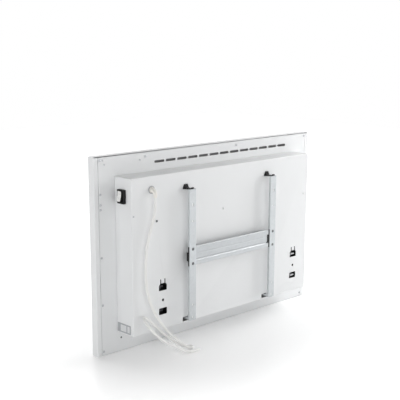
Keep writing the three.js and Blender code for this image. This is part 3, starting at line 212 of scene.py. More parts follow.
plainLook = {
    "grain": 0.0005, "bump": 0.1, "depth": 0.00002, "drift": 0.06, "driftSize": 0.02, "wearAndHighlight": 0.5,
    "dust": 0.1, "metallic": 0.0, "specular": 0.5,
}
finishes = {
    "whitePaint": {
        "color": (0.8, 0.81, 0.815), "wornAndHighlight": (0.7, 0.71, 0.72), "roughness": (0.36, 0.46), "grain": 0.0009,
        "depth": 0.00006, "drift": 0.03, "driftSize": 0.22, "wearAndHighlight": 0.35, "dust": 0.25,
    },
    "platePaint": {
        "color": (0.775, 0.785, 0.79), "wornAndHighlight": (0.6, 0.61, 0.62), "roughness": (0.4, 0.5), "grain": 0.0009,
        "bump": 0.12, "depth": 0.00006, "drift": 0.04, "driftSize": 0.18, "wearAndHighlight": 0.35, "dust": 0.35,
    },
    "galvanised": {
        "color": (0.52, 0.545, 0.56), "wornAndHighlight": (0.72, 0.74, 0.75), "roughness": (0.38, 0.5), "grain": 0.0006,
        "bump": 0.05, "driftSize": 0.06, "metallic": 0.4, "spangle": (0.005, 0.06),
    },
    # the bar's pale edge colour is partly rubbed zinc and partly a painted highlight along its folds and
    # ridges
    "barZinc": {
        "color": (0.46, 0.48, 0.495), "wornAndHighlight": (0.85, 0.86, 0.87), "roughness": (0.36, 0.48), "grain": 0.0006,
        "bump": 0.05, "driftSize": 0.06, "wearAndHighlight": 0.6, "metallic": 0.4, "spangle": (0.005, 0.06),
    },
    "zincSteel": {
        "color": (0.62, 0.63, 0.64), "wornAndHighlight": (0.75, 0.76, 0.77), "roughness": (0.28, 0.42), "bump": 0.08,
        "drift": 0.08, "driftSize": 0.03, "wearAndHighlight": 0.4, "dust": 0.2, "metallic": 0.9, "spangle": (0.002, 0.12),
    },
    "darkSteel": {
        "color": (0.15, 0.155, 0.16), "wornAndHighlight": (0.38, 0.39, 0.4), "roughness": (0.34, 0.5), "grain": 0.0004,
        "drift": 0.2, "driftSize": 0.004, "wearAndHighlight": 0.8, "dust": 0.2, "metallic": 0.8,
    },
    "whitePlastic": {
        "color": (0.86, 0.86, 0.84), "wornAndHighlight": (0.78, 0.78, 0.75), "roughness": (0.3, 0.38), "bump": 0.08,
        "depth": 0.00003, "drift": 0.03, "wearAndHighlight": 0.3, "dust": 0.15,
    },
    "blackPlastic": {
        "color": (0.006, 0.006, 0.0065), "wornAndHighlight": (0.03, 0.03, 0.031), "roughness": (0.4, 0.52),
        "grain": 0.0004, "bump": 0.18, "depth": 0.00004, "drift": 0.25, "driftSize": 0.012, "dust": 0.03,
        "specular": 0.22,
    },
    "cordSheath": {
        "color": (0.81, 0.805, 0.79), "wornAndHighlight": (0.74, 0.72, 0.68), "roughness": (0.38, 0.5), "grain": 0.0007,
        "depth": 0.00005, "drift": 0.05, "driftSize": 0.05, "wearAndHighlight": 0.1, "dust": 0.15, "sheen": 0.15,
    },
    "bootRubber": {
        "color": (0.84, 0.815, 0.765), "wornAndHighlight": (0.7, 0.66, 0.6), "roughness": (0.42, 0.55), "grain": 0.0006,
        "bump": 0.12, "depth": 0.00004, "driftSize": 0.012, "wearAndHighlight": 0.3, "dust": 0.2,
    },
    "greyPlastic": {
        "color": (0.4, 0.41, 0.43), "wornAndHighlight": (0.52, 0.53, 0.55), "roughness": (0.34, 0.46), "depth": 0.00003,
        "drift": 0.08, "driftSize": 0.006, "wearAndHighlight": 0.4,
    },
    "screwSteel": {
        "color": (0.52, 0.53, 0.55), "wornAndHighlight": (0.68, 0.69, 0.71), "roughness": (0.34, 0.48), "grain": 0.0004,
        "bump": 0.08, "drift": 0.15, "driftSize": 0.003, "dust": 0.2, "metallic": 0.7,
    },
    # a near-black copy of the clip steel: painted shade for the left clip deep in its pocket
    "clipSteel": {
        "color": (0.07, 0.072, 0.076), "wornAndHighlight": (0.16, 0.165, 0.17), "roughness": (0.34, 0.48),
        "grain": 0.0004, "bump": 0.08, "drift": 0.15, "driftSize": 0.006, "dust": 0.05, "metallic": 0.75,
    },
    "leadSheath": {
        "color": (0.7, 0.67, 0.62), "wornAndHighlight": (0.6, 0.57, 0.52), "roughness": (0.4, 0.55), "depth": 0.00004,
        "drift": 0.08, "wearAndHighlight": 0.1, "dust": 0.15,
    },
    "plateFoil": {
        "color": (0.72, 0.73, 0.735), "wornAndHighlight": (0.75, 0.76, 0.77), "roughness": (0.3, 0.42), "grain": 0.0003,
        "bump": 0.06, "drift": 0.05, "driftSize": 0.01, "wearAndHighlight": 0.3, "metallic": 0.35,
    },
    "film": {
        "color": (0.32, 0.16, 0.06), "wornAndHighlight": (0.42, 0.24, 0.11), "roughness": (0.22, 0.34), "grain": 0.002,
        "depth": 0.00005, "drift": 0.15, "driftSize": 0.04, "wearAndHighlight": 0.2, "coat": 0.3,
    },
    # dark grey wool: its darkness is partly painted shade for the closed case's inside, seen through the back
    # plate's slots
    "wool": {
        "color": (0.27, 0.27, 0.275), "wornAndHighlight": (0.36, 0.36, 0.365), "roughness": (0.85, 0.98), "grain": 0.0016,
        "bump": 0.8, "depth": 0.0006, "drift": 0.2, "wearAndHighlight": 0.4, "dust": 0.2, "sheen": 0.4,
    },
    "finAluminium": {
        "color": (0.7, 0.71, 0.72), "wornAndHighlight": (0.8, 0.81, 0.82), "roughness": (0.32, 0.5), "bump": 0.12,
        "depth": 0.00003, "driftSize": 0.03, "wearAndHighlight": 0.4, "dust": 0.3, "metallic": 0.95,
    },
    "ceramic": {
        "color": (0.78, 0.74, 0.64), "wornAndHighlight": (0.7, 0.65, 0.55), "roughness": (0.5, 0.65), "grain": 0.0006,
        "bump": 0.2, "depth": 0.00005, "drift": 0.08, "driftSize": 0.01, "wearAndHighlight": 0.2, "dust": 0.15,
    },
    "board": {
        "color": (0.03, 0.16, 0.07), "wornAndHighlight": (0.35, 0.28, 0.12), "roughness": (0.28, 0.4), "grain": 0.0012,
        "bump": 0.15, "depth": 0.00005, "drift": 0.3, "driftSize": 0.006, "coat": 0.3,
    },
    "relay": {
        "color": (0.02, 0.06, 0.25), "wornAndHighlight": (0.06, 0.12, 0.35), "roughness": (0.2, 0.3), "grain": 0.0004,
        "bump": 0.06, "depth": 0.00003, "drift": 0.1, "driftSize": 0.008, "wearAndHighlight": 0.3, "coat": 0.2,
    },
}

dustColor = (0.62, 0.60, 0.57)


def makeFinish(name, own):
    look = {**plainLook, **own}
    material = bpy.data.materials.new(name)
    material.use_nodes = True
    tree = material.node_tree
    surface = tree.nodes["Principled BSDF"].inputs

    def useGroup(group, values):
        return addNode(tree, "ShaderNodeGroup", {"node_tree": groups[group]}, values).outputs

    surface["Metallic"].default_value = look["metallic"]
    surface["Specular IOR Level"].default_value = look["specular"]
    if "sheen" in look:
        surface["Sheen Weight"].default_value = look["sheen"]
        surface["Sheen Roughness"].default_value = 0.5
    if "coat" in look:
        surface["Coat Weight"].default_value = look["coat"]
        surface["Coat Roughness"].default_value = 0.15
    color = useGroup("toneDrift", {
        "Color": (*look["color"], 1), "Drift": look["drift"], "Size": look["driftSize"],
    })["Color"]
    grain = useGroup("surfaceGrain", {"Size": look["grain"]})
    gloss = grain["Speckle"]
    if "spangle" in look:
        size, contrast = look["spangle"]
        spangle = useGroup("zincSpangle", {"Size": size, "Contrast": contrast})
        lighten = addNode(tree, "ShaderNodeHueSaturation", None, {
            "Value": spangle["Lightness"], "Color": color,
        })
        color, gloss = lighten.outputs["Color"], spangle["Gloss"]
    # colour on convex edges (real wear, and on the crossbar a painted highlight), then settled dust on upper
    # faces
    for mask, amount, over in (("edgeWear", "wearAndHighlight", look["wornAndHighlight"]), ("settledDust", "dust", dustColor)):
        color = addNode(tree, "ShaderNodeMix", {"data_type": "RGBA"}, {
            "Factor": useGroup(mask, {"Amount": look[amount]})["Mask"], "A": color, "B": (*over, 1),
        }).outputs["Result"]
    bump = addNode(tree, "ShaderNodeBump", None, {
        "Strength": look["bump"], "Distance": look["depth"], "Height": grain["Height"],
    })
    link = tree.links.new
    link(color, surface["Base Color"])
    link(mapRange(tree, gloss, target=look["roughness"]), surface["Roughness"])
    link(bump.outputs["Normal"], surface["Normal"])
    return material


paints = {name: makeFinish(name, look) for name, look in finishes.items()}
print("finishes made:", len(paints))


# mesh tools, in mm

def roundCorners(points, radius, steps=4):
    # each corner of an outline becomes a short arc
    rounded = []
    for i, corner in enumerate(points):
        here = Vector(corner)
        before = Vector(points[i - 1]) - here
        after = Vector(points[(i + 1) % len(points)]) - here
        half = before.angle(after) / 2
        reach = min(radius / math.tan(half), before.length * 0.49, after.length * 0.49)
        size = reach * math.tan(half)
        centre = here + (before.normalized() + after.normalized()).normalized() * (size / math.sin(half))
        start = here + before.normalized() * reach - centre
        end = here + after.normalized() * reach - centre
        turn = math.atan2(start.cross(end), start.dot(end))
        for step in range(steps + 1):
            rounded.append(tuple(centre + Matrix.Rotation(turn * step / steps, 2) @ start))
    return rounded


def rectangle(xLimits, zLimits):
    return [(xLimits[0], zLimits[0]), (xLimits[1], zLimits[0]),
            (xLimits[1], zLimits[1]), (xLimits[0], zLimits[1])]


def roundRectangle(xLimits, zLimits, radius, steps=4):
    return roundCorners(rectangle(xLimits, zLimits), radius, steps)


def about(middle, half):
    return middle - half, middle + half


def circle(place, radius, sides=24):
    return [
        (place[0] + radius * math.cos(math.tau * i / sides),
         place[1] + radius * math.sin(math.tau * i / sides))
        for i in range(sides)
    ]


def loft(body, rings, closed=False):
    # faces from ring to ring; a ring of one point is a pole
    faces = []
    for first, second in zip(rings, rings[1:] + rings[:1] if closed else rings[1:]):
        sides = max(len(first), len(second))
        for i in range(sides):
            j = (i + 1) % sides
            corners = [ring[k % len(ring)] for ring, k in ((first, i), (first, j), (second, j), (second, i))]
            faces.append(body.faces.new(list(dict.fromkeys(corners))))
    return faces


def addPrism(body, axis, outline, start, end):
    # an outline across an axis, pushed along it
    first, second, along = blockAxes[axis]
    rings = []
    for depth in (start, end):
        ring = []
        for a, b in outline:
            place = [0.0, 0.0, 0.0]
            place[first], place[second], place[along] = a, b, depth
            ring.append(body.verts.new(place))
        rings.append(ring)
    faces = [body.faces.new(ring) for ring in rings]
    bmesh.ops.recalc_face_normals(body, faces=faces + loft(body, rings))


def addBlock(body, xLimits, yLimits, zLimits):
    addPrism(body, "z", rectangle(xLimits, yLimits), *zLimits)


def toObject(name, body):
    mesh = bpy.data.meshes.new(name)
    body.transform(Matrix.Scale(mm, 4))
    body.to_mesh(mesh)
    body.free()
    return newObject(name, mesh)


def prism(axis, outline, start, end, name="tool"):
    body = bmesh.new()
    addPrism(body, axis, outline, start, end)
    return toObject(name, body)


def block(xLimits, yLimits, zLimits, name="tool"):
    return prism("z", rectangle(xLimits, yLimits), *zLimits, name)


def roundBlock(name, xLimits, yLimits, zLimits, radius, steps=3, chosen=None):
    # a block whose folds are rounded; chosen picks the edges by their middle
    body = bmesh.new()
    addBlock(body, xLimits, yLimits, zLimits)
    edges = [e for e in body.edges if chosen is None or chosen((e.verts[0].co + e.verts[1].co) / 2)]
    bmesh.ops.bevel(body, geom=edges, offset=radius, segments=steps, profile=0.5, affect="EDGES")
    return toObject(name, body)


def roundRim(body, axis, level, radius, steps, profile):
    # rounds the rim at the outer end of what was pushed along an axis
    along = blockAxes[axis][2]
    rim = [e for e in body.edges if all(v.co[along] > level - 0.01 for v in e.verts)]
    bmesh.ops.bevel(body, geom=rim, offset=radius, segments=steps, profile=profile, affect="EDGES")


def settle(piece):
    # what the modifiers make becomes the piece's own mesh
    graph = bpy.context.evaluated_depsgraph_get()
    mesh = bpy.data.meshes.new_from_object(piece.evaluated_get(graph))
    piece.modifiers.clear()
    old = piece.data
    piece.data = mesh
    mesh.name = piece.name
    bpy.data.meshes.remove(old)
    return piece


def combine(piece, tool, operation="DIFFERENCE"):
    change = piece.modifiers.new("combine", "BOOLEAN")
    change.operation = operation
    change.solver = "EXACT"
    change.object = tool
    settle(piece)
    bpy.data.objects.remove(tool)


def shadeSmooth(piece, angle):
    piece.data.shade_smooth()
    piece.data.set_sharp_from_angle(angle=math.radians(angle))
    return piece


def mergePoints(body):
    bmesh.ops.remove_doubles(body, verts=body.verts, dist=0.00001)


def soften(piece, width=0.25, steps=2, angle=28):
    # a small round on every sharp edge, and even shading on the flat faces
    body = bmesh.new()
    body.from_mesh(piece.data)
    mergePoints(body)
    bmesh.ops.dissolve_degenerate(body, edges=body.edges, dist=0.00001)
    body.to_mesh(piece.data)
    body.free()
    bevel = piece.modifiers.new("soften", "BEVEL")
    bevel.width = width * mm
    bevel.segments = steps
    bevel.limit_method = "ANGLE"
    bevel.angle_limit = math.radians(angle)
    bevel.miter_outer = "MITER_ARC"
    shadeSmooth(settle(piece), 60)
    piece.modifiers.new("even", "WEIGHTED_NORMAL").keep_sharp = True
    return settle(piece)


def finishPiece(piece, body, paint, slot, *standsFor):
    piece.data.materials.clear()
    piece.data.materials.append(paints[paint])
    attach(piece, body)
    if standsFor:
        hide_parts(*standsFor)
    return piece


def cadCopy(name, pieceName):
    # a merged copy of a CAD node, its flat faces made whole again
    body = bmesh.new()
    body.from_mesh(cadNodes[name].data)
    mergePoints(body)
    bmesh.ops.dissolve_limit(body, angle_limit=math.radians(1), verts=body.verts, edges=body.edges)
    mesh = bpy.data.meshes.new(pieceName)
    body.to_mesh(mesh)
    body.free()
    return newObject(pieceName, mesh)


# geometry node trees

def geometryTree(name, inputs):
    return newTree("GeometryNodeTree", name, {"Geometry": "Geometry", **inputs, "Paint": "Material"},
                   {"Geometry": "Geometry"})


def realize(tree, geometry):
    return addNode(tree, "GeometryNodeRealizeInstances", None, {"Geometry": geometry}).outputs["Geometry"]


def endGeometry(tree, given, geometry):
    painted = addNode(tree, "GeometryNodeSetMaterial", None, {
        "Geometry": realize(tree, geometry), "Material": given["Paint"],
    })
    return endGroup(tree, {"Geometry": painted.outputs["Geometry"]})


def sweep(tree, path, profile):
    return addNode(tree, "GeometryNodeCurveToMesh", None, {
        "Curve": path.outputs["Curve"], "Profile Curve": profile.outputs["Curve"], "Fill Caps": True,
    }).outputs["Mesh"]


def makeSlotRowTree():
    # cuts a row of round-ended slots through a plate, along X and through Y
    tree, given = geometryTree("slotRow", {
        "Slots": 13, "Pitch": 0.034, "Slot length": 0.03, "Slot height": 0.0044, "First slot": "Vector",
        "Depth": 0.01,
    })
    pitch = addNode(tree, "ShaderNodeCombineXYZ", None, {"X": given["Pitch"]})
    row = addNode(tree, "GeometryNodeMeshLine", {"mode": "OFFSET"}, {
        "Count": given["Slots"], "Start Location": given["First slot"], "Offset": pitch.outputs["Vector"],
    })
    outline = addNode(tree, "GeometryNodeCurvePrimitiveQuadrilateral", {"mode": "RECTANGLE"}, {
        "Width": given["Slot length"], "Height": given["Slot height"],
    })
    ends = addNode(tree, "GeometryNodeFilletCurve", {"mode": "POLY"}, {
        "Curve": outline.outputs["Curve"], "Count": 6,
        "Radius": calculate(tree, "MULTIPLY", given["Slot height"], 0.499),
    })
    through = addNode(tree, "ShaderNodeCombineXYZ", None, {"Y": given["Depth"]})
    path = addNode(tree, "GeometryNodeCurvePrimitiveLine", None, {"End": through.outputs["Vector"]})
    tools = addNode(tree, "GeometryNodeInstanceOnPoints", None, {
        "Points": row.outputs["Mesh"], "Instance": sweep(tree, path, ends),
    })
    punch = addNode(tree, "GeometryNodeMeshBoolean", {"operation": "DIFFERENCE", "solver": "EXACT"}, {
        "Mesh 1": given["Geometry"], "Mesh 2": realize(tree, tools.outputs["Instances"]),
    })
    return endGeometry(tree, given, punch.outputs["Mesh"])


def makeFoldedBarTree():
    # sweeps a folded sheet's closed section along a straight line; each corner's share of the
    # fold radius is kept in the attribute foldShare
    tree, given = geometryTree("foldedBar", {
        "Fold radius": 0.0015, "Fold steps": 3, "Start": "Vector", "End": "Vector",
    })
    share = addNode(tree, "GeometryNodeInputNamedAttribute", {"data_type": "FLOAT"}, {"Name": "foldShare"})
    section = addNode(tree, "GeometryNodeMeshToCurve", None, {"Mesh": given["Geometry"]})
    folds = addNode(tree, "GeometryNodeFilletCurve", {"mode": "POLY"}, {
        "Curve": section.outputs["Curve"], "Count": given["Fold steps"], "Limit Radius": True,
        "Radius": calculate(tree, "MULTIPLY", share.outputs["Attribute"], given["Fold radius"]),
    })
    path = addNode(tree, "GeometryNodeCurvePrimitiveLine", None, {
        "Start": given["Start"], "End": given["End"],
    })
    return endGeometry(tree, given, sweep(tree, path, folds))


def makeHeadRowTree():
    # sets a screw or rivet head on every point, each turned its own way about Y
    tree, given = geometryTree("headRow", {"Head": "Object", "Turn seed": 4})
    head = addNode(tree, "GeometryNodeObjectInfo", {"transform_space": "ORIGINAL"}, {"Object": given["Head"]})
    turn = addNode(tree, "FunctionNodeRandomValue", {"data_type": "FLOAT"}, {
        3: math.tau, "Seed": given["Turn seed"],
    })
    spin = addNode(tree, "ShaderNodeCombineXYZ", None, {"Y": turn.outputs[1]})
    heads = addNode(tree, "GeometryNodeInstanceOnPoints", None, {
        "Points": given["Geometry"], "Instance": head.outputs["Geometry"], "Rotation": spin.outputs["Vector"],
    })
    return endGeometry(tree, given, heads.outputs["Instances"])


trees = {"slotRow": makeSlotRowTree(), "foldedBar": makeFoldedBarTree(), "headRow": makeHeadRowTree()}


def runTree(piece, name, values):
    change = piece.modifiers.new(name, "NODES")
    change.node_group = trees[name]
    for item in trees[name].interface.items_tree:
        if item.in_out == "INPUT" and item.name in values:
            change[item.identifier] = values[item.name]
    return settle(piece)


def foldedBar(name, section, start, end, radius, paint, steps=4):
    # section: (across, out, share of the fold radius) in mm, drawn as the sweep wants it
    mesh = bpy.data.meshes.new(name)
    count = len(section)
    mesh.from_pydata([(a * mm, b * mm, 0) for a, b, _ in section],
                     [(i, (i + 1) % count) for i in range(count)], [])
    shares = mesh.attributes.new("foldShare", "FLOAT", "POINT")
    for i, (_, _, share) in enumerate(section):
        shares.data[i].value = share
    return runTree(newObject(name, mesh), "foldedBar", {
        "Fold radius": radius * mm, "Fold steps": steps, "Start": [v * mm for v in start],
        "End": [v * mm for v in end], "Paint": paints[paint],
    })


print("tools ready")


# power cord, laid first

cordRoute = [
    (0.237, 0.0385, 0.35), (0.2365, 0.038, 0.334), (0.238, 0.037, 0.315), (0.244, 0.036, 0.294),
    (0.2525, 0.036, 0.27), (0.26, 0.036, 0.24), (0.2635, 0.036, 0.206), (0.2635, 0.0365, 0.168),
    (0.2575, 0.0385, 0.13), (0.247, 0.042, 0.1), (0.234, 0.047, 0.075), (0.2195, 0.052, 0.054),
    (0.204, 0.056, 0.0362), (0.1888, 0.061, 0.0215), (0.177, 0.066, 0.0108), (0.168, 0.07, 0.0048),
    (0.1615, 0.071, 0.0034), (0.1558, 0.0685, 0.0034), (0.1538, 0.0636, 0.0034), (0.1573, 0.059, 0.0034),
    (0.1645, 0.0562, 0.0038), (0.1745, 0.052, 0.0074), (0.184, 0.0452, 0.0138), (0.1945, 0.0386, 0.0232),
    (0.207, 0.0335, 0.0354), (0.2205, 0.0306, 0.049), (0.2365, 0.0294, 0.064), (0.253, 0.0296, 0.0795),
    (0.2685, 0.036, 0.0895), (0.2805, 0.051, 0.0885), (0.282, 0.067, 0.0765), (0.272, 0.075, 0.062),
    (0.259, 0.077, 0.0495), (0.2455, 0.078, 0.0382), (0.2315, 0.079, 0.0298), (0.215, 0.0812, 0.0196),
    (0.2005, 0.0838, 0.0102), (0.1898, 0.0853, 0.0044), (0.1793, 0.0864, 0.0033),
]
cordSizes = {"diameter": 0.006, "length": 0.728, "steps": 6, "roundSteps": 5}
sleeve = {
    "route": [(178.9, 86.45, 3.25), (166, 87.6, 2.75), (152.6, 87.3, 2.7)], "samples": 10, "radius": 2.5,
    "mouth": 0.35, "mouthReach": 0.8,
}


def chordalTangents(points, i):
    # tangents of the smooth curve through four points, both ends of the middle stretch
    before = points[i - 1] if i > 0 else points[0] * 2 - points[1]
    here, there = points[i], points[i + 1]
    after = points[i + 2] if i + 2 < len(points) else there * 2 - here
    gaps = [max((b - a).length, 1e-6) ** 0.5 for a, b in ((before, here), (here, there), (there, after))]
    leaving = (here - before) / gaps[0] - (there - before) / (gaps[0] + gaps[1]) + (there - here) / gaps[1]
    arriving = (there - here) / gaps[1] - (after - here) / (gaps[1] + gaps[2]) + (after - there) / gaps[2]
    return leaving * gaps[1], arriving * gaps[1]


def makeCord():
    points = [Vector(p) for p in cordRoute]
    line = bpy.data.curves.new("supply_cord", "CURVE")
    line.dimensions = "3D"
    line.resolution_u = cordSizes["steps"]
    line.bevel_depth = cordSizes["diameter"] / 2
    line.bevel_resolution = cordSizes["roundSteps"]
    line.use_fill_caps = True
    knots = line.splines.new("BEZIER").bezier_points
    knots.add(len(points) - 1)
    for knot, place in zip(knots, points):
        knot.co = place
        knot.handle_left_type = knot.handle_right_type = "FREE"
        knot.handle_left = knot.handle_right = place
    for i in range(len(points) - 1):
        leaving, arriving = chordalTangents(points, i)
        knots[i].handle_right = points[i] + leaving / 3
        knots[i + 1].handle_left = points[i + 1] - arriving / 3
    line.materials.append(paints["cordSheath"])
    return newObject("supply_cord", line)


def sweepRings(stations, sides=24):
    # rings across a path: each station is (centre, direction, side direction, radius)
    body = bmesh.new()
    rings = []
    for centre, ahead, side, radius in stations:
        other = ahead.cross(side)
        rings.append([
            body.verts.new(centre + radius * (math.cos(math.tau * i / sides) * side
                                              + math.sin(math.tau * i / sides) * other))
            for i in range(sides)
        ])
    faces = [body.faces.new(rings[0]), body.faces.new(rings[-1])]
    bmesh.ops.recalc_face_normals(body, faces=faces + loft(body, rings))
    return body


def smoothSamples(route, steps):
    points = [Vector(p) for p in route]
    samples = []
    for i in range(len(points) - 1):
        leaving, arriving = chordalTangents(points, i)
        a, b = points[i], points[i + 1]
        for step in range(steps + (i == len(points) - 2)):
            t = step / steps
            samples.append(
                a * (2 * t**3 - 3 * t**2 + 1) + leaving * (t**3 - 2 * t**2 + t)
                + b * (3 * t**2 - 2 * t**3) + arriving * (t**3 - t**2)
            )
    return samples


def makeSleeve():
    # sleeve over the cord's bare end, its mouth rounded
    samples = smoothSamples(sleeve["route"], sleeve["samples"])
    across = Vector((0, 0, 1)).cross(samples[-1] - samples[0]).normalized()
    stations = []
    for i, place in enumerate(samples):
        ahead = (samples[min(i + 1, len(samples) - 1)] - samples[max(i - 1, 0)]).normalized()
        fromEnd = min((place - samples[0]).length, (place - samples[-1]).length)
        shrink = sleeve["mouth"] * max(0, 1 - fromEnd / sleeve["mouthReach"])
        stations.append((place, ahead, across, sleeve["radius"] - shrink))
    return shadeSmooth(toObject("cord_sleeve", sweepRings(stations)), 50)


cord = makeCord()
cordSleeve = finishPiece(makeSleeve(), "heater", "whitePlastic", "white_plastic", "cord_end_sleeve")
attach(cord, "heater")
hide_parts("power_cord")
print("cord laid")


# front panel: a folded tray with lips at both sides and an air outlet under its top edge

panel = {
    "halfWidth": 347.5, "height": 440, "sheet": 1.2, "lip": 11.2, "outlet": 1.7, "fold": 1.6,
    "insideFold": 0.8,
}


def makeFrontPanel():
    half, top, sheet = panel["halfWidth"], panel["height"], panel["sheet"]
    front, back = depths["front"], depths["plate"]
    tray = roundBlock("heating_panel", (-half, half), (front, back), (0, top), panel["fold"])
    inside, under = about(0, half - sheet), top - sheet
    combine(tray, roundBlock("cavity", inside, (front + sheet, back - sheet), (sheet, under),
                             panel["insideFold"], 2))
    through = (back - sheet - 1, back + 1)
    combine(tray, block(about(0, half - panel["lip"]), through, (sheet, under)))
    combine(tray, block(inside, through, (under - panel["outlet"], under)))
    return soften(tray, 0.22)


finishPiece(makeFrontPanel(), "heater", "whitePaint", "white_paint", "front_panel")
print("front panel folded")


# back plate with its row of slots, its screws and rivets

plate = {
    "side": 335.3, "bottom": 1.5, "top": 437.1, "sheet": 1.2, "cornerRadius": 1.0,
    "slots": 13, "pitch": 34.1, "slotLength": 29.9, "slotHeight": 5.7, "rowMiddle": -39.9, "rowHeight": 413.8,
    "wireHole": (174.0, 181.2, 5.0), "screwHole": 1.7,
}
plateScrews = {
    "side": 331.5, "sideHeights": [10.47, 115.72, 221.32, 326.04, 430.76], "extraHeights": [336.2, 358.42],
    "top": 428.5, "topPlaces": [205.23, -80.41],
}
plateRivets = {"places": [(221.0, 421.9), (319.1, 421.1), (323.8, 430.5)], "stud": (281.9, 31.7)}
rivetHead = {"radius": 2.1, "height": 0.9, "root": -0.6}
screwHead = {
    "radius": 2.7, "height": 1.5, "shank": 1.4, "length": 5.0, "recess": 0.9, "recessWidth": 0.55,
    "recessDepth": 0.8, "gap": 0.05, "sides": 20, "domeSteps": 8,
}


def screwPlaces():
    side = plateScrews["side"]
    places = [(x, height) for height in plateScrews["sideHeights"] for x in (side, -side)]
    places += [(side, height) for height in plateScrews["extraHeights"]]
    return places + [(x, plateScrews["top"]) for x in plateScrews["topPlaces"]]


def makeBackPlate():
    face, sheet = depths["plate"], plate["sheet"]
    outline = roundRectangle(about(0, plate["side"]), (plate["bottom"], plate["top"]), plate["cornerRadius"])
    piece = prism("y", outline, face - sheet, face, "back_sheet")
    depth = sheet * 4
    firstSlot = plate["rowMiddle"] - (plate["slots"] - 1) / 2 * plate["pitch"]
    runTree(piece, "slotRow", {
        "Slots": plate["slots"], "Pitch": plate["pitch"] * mm, "Slot length": plate["slotLength"] * mm,
        "Slot height": plate["slotHeight"] * mm,
        "First slot": [firstSlot * mm, (face - depth / 2) * mm, plate["rowHeight"] * mm],
        "Depth": depth * mm, "Paint": paints["platePaint"],
    })
    holes = bmesh.new()
    for place in screwPlaces():
        addPrism(holes, "y", circle(place, plate["screwHole"], 12), *about(face, 5))
    x, z, radius = plate["wireHole"]
    addPrism(holes, "y", circle((x, z), radius), *about(face, 5))
    combine(piece, toObject("holes", holes))
    return soften(piece, 0.2)


def spun(body, profile, middle, sides):
    # rings of points round a line along Y: each of the profile is (radius, y)
    return [
        [body.verts.new((x, y, z)) for x, z in (circle(middle, r, sides) if r else [middle])]
        for r, y in profile
    ]


def makeScrew(name):
    # pan head with a cross recess, its seat at y = 0 and its shank towards -Y
    size = screwHead
    radius, height, shank = size["radius"], size["height"], size["shank"]
    low, gap, dome = -size["length"], size["gap"], size["domeSteps"]
    profile = [(0.0, low), (shank * 0.6, low), (shank, low + 0.8), (shank, gap), (radius - 0.15, gap),
               (radius, gap + 0.2), (radius, height * 0.45)]
    for i in range(1, dome + 1):
        turn = math.pi / 2 * i / dome
        profile.append((radius * math.cos(turn) ** 0.6 if i < dome else 0.0,
                        height * 0.45 + (height * 0.55 + 0.3) * math.sin(turn)))
    body = bmesh.new()
    loft(body, spun(body, profile, (0, 0), size["sides"]))
    bmesh.ops.recalc_face_normals(body, faces=body.faces)
    piece = toObject(name, body)
    wide, long = about(0, size["recessWidth"] / 2), about(0, size["recess"] * 1.5)
    deep = (height + 0.4 - size["recessDepth"], height + 2)
    combine(piece, block(long, deep, wide))
    combine(piece, block(wide, deep, long))
    return shadeSmooth(piece, 40)


def makeRivetHead(name):
    height = rivetHead["height"]
    body = bmesh.new()
    addPrism(body, "y", circle((0, 0), rivetHead["radius"]), rivetHead["root"], height)
    roundRim(body, "y", height, height * 0.7, 4, 0.6)
    return shadeSmooth(toObject(name, body), 40)


def setHeads(name, head, places, depth, paint, slot, *standsFor, seed=4):
    mesh = bpy.data.meshes.new(name)
    mesh.from_pydata([(x * mm, depth * mm, z * mm) for x, z in places], [], [])
    made = newObject(name, mesh)
    runTree(made, "headRow", {"Head": head, "Turn seed": seed, "Paint": paints[paint]})
    made.data.set_sharp_from_angle(angle=math.radians(40))
    finishPiece(made, "heater", paint, slot, *standsFor)


finishPiece(makeBackPlate(), "heater", "platePaint", "plate_paint", "back_plate")
screwModel = makeScrew("screw_model")
rivetModel = makeRivetHead("rivet_model")
setHeads("plate_screws", screwModel, screwPlaces(), depths["plate"], "screwSteel", "zinc_steel")
setHeads("plate_rivets", rivetModel, plateRivets["places"], depths["plate"], "screwSteel", "zinc_steel")
setHeads("plate_stud", rivetModel, [plateRivets["stud"]], depths["plate"], "darkSteel", "dark_steel")
print("back plate punched and screwed")


# rear cover

cover = {
    "left": 292.0, "right": -285.0, "bottom": 47.0, "top": 394.5, "sheet": 1.0, "fold": 2.0,
    "insideFold": 1.0, "seat": 0.3, "cornerRadius": 0.8,
}
vents = {
    "stations": 6, "first": 190.0, "pitch": 90.8, "slots": 4, "slotPitch": 9.6, "length": 6.6, "width": 2.6,
    "middle": -2.2, "corner": 0.6,
}
footOpenings = {
    "places": [205.5, -235.5], "width": 23.8, "upper": (136.2, 152.7), "cornerCut": (2.6, 4.6), "corner": 2.2,
    "lower": (80.9, 96.0), "hole": (114.3, 3.3), "prongTop": 162.4, "prongWidth": 3.2, "prongSpacing": 12.5,
}
bracketOpenings = {
    "places": [136.5, -129.5], "lockBottom": 355.0, "lockBase": 20.0, "lockTop": 9.4, "lockHeight": 11.2,
    "hookWidth": 19.0, "hook": (50.25, 60.65),
}
coverHoles = {
    "screws": [(222.5, 295.0), (17.0, 295.0), (-270.2, 295.0)], "screwRadius": 1.7,
    "gland": (237.0, 365.2, 6.3), "switch": ((-14.35, 6.75), (339.45, 368.55)), "rivet": (287.2, 313.5),
}


def lockOutline(x, low, base, top):
    high = bracketOpenings["lockBottom"] + bracketOpenings["lockHeight"]
    corners = [(x - base / 2, low), (x + base / 2, low), (x + top / 2, high), (x - top / 2, high)]
    return roundCorners(corners, cover["cornerRadius"], 3)


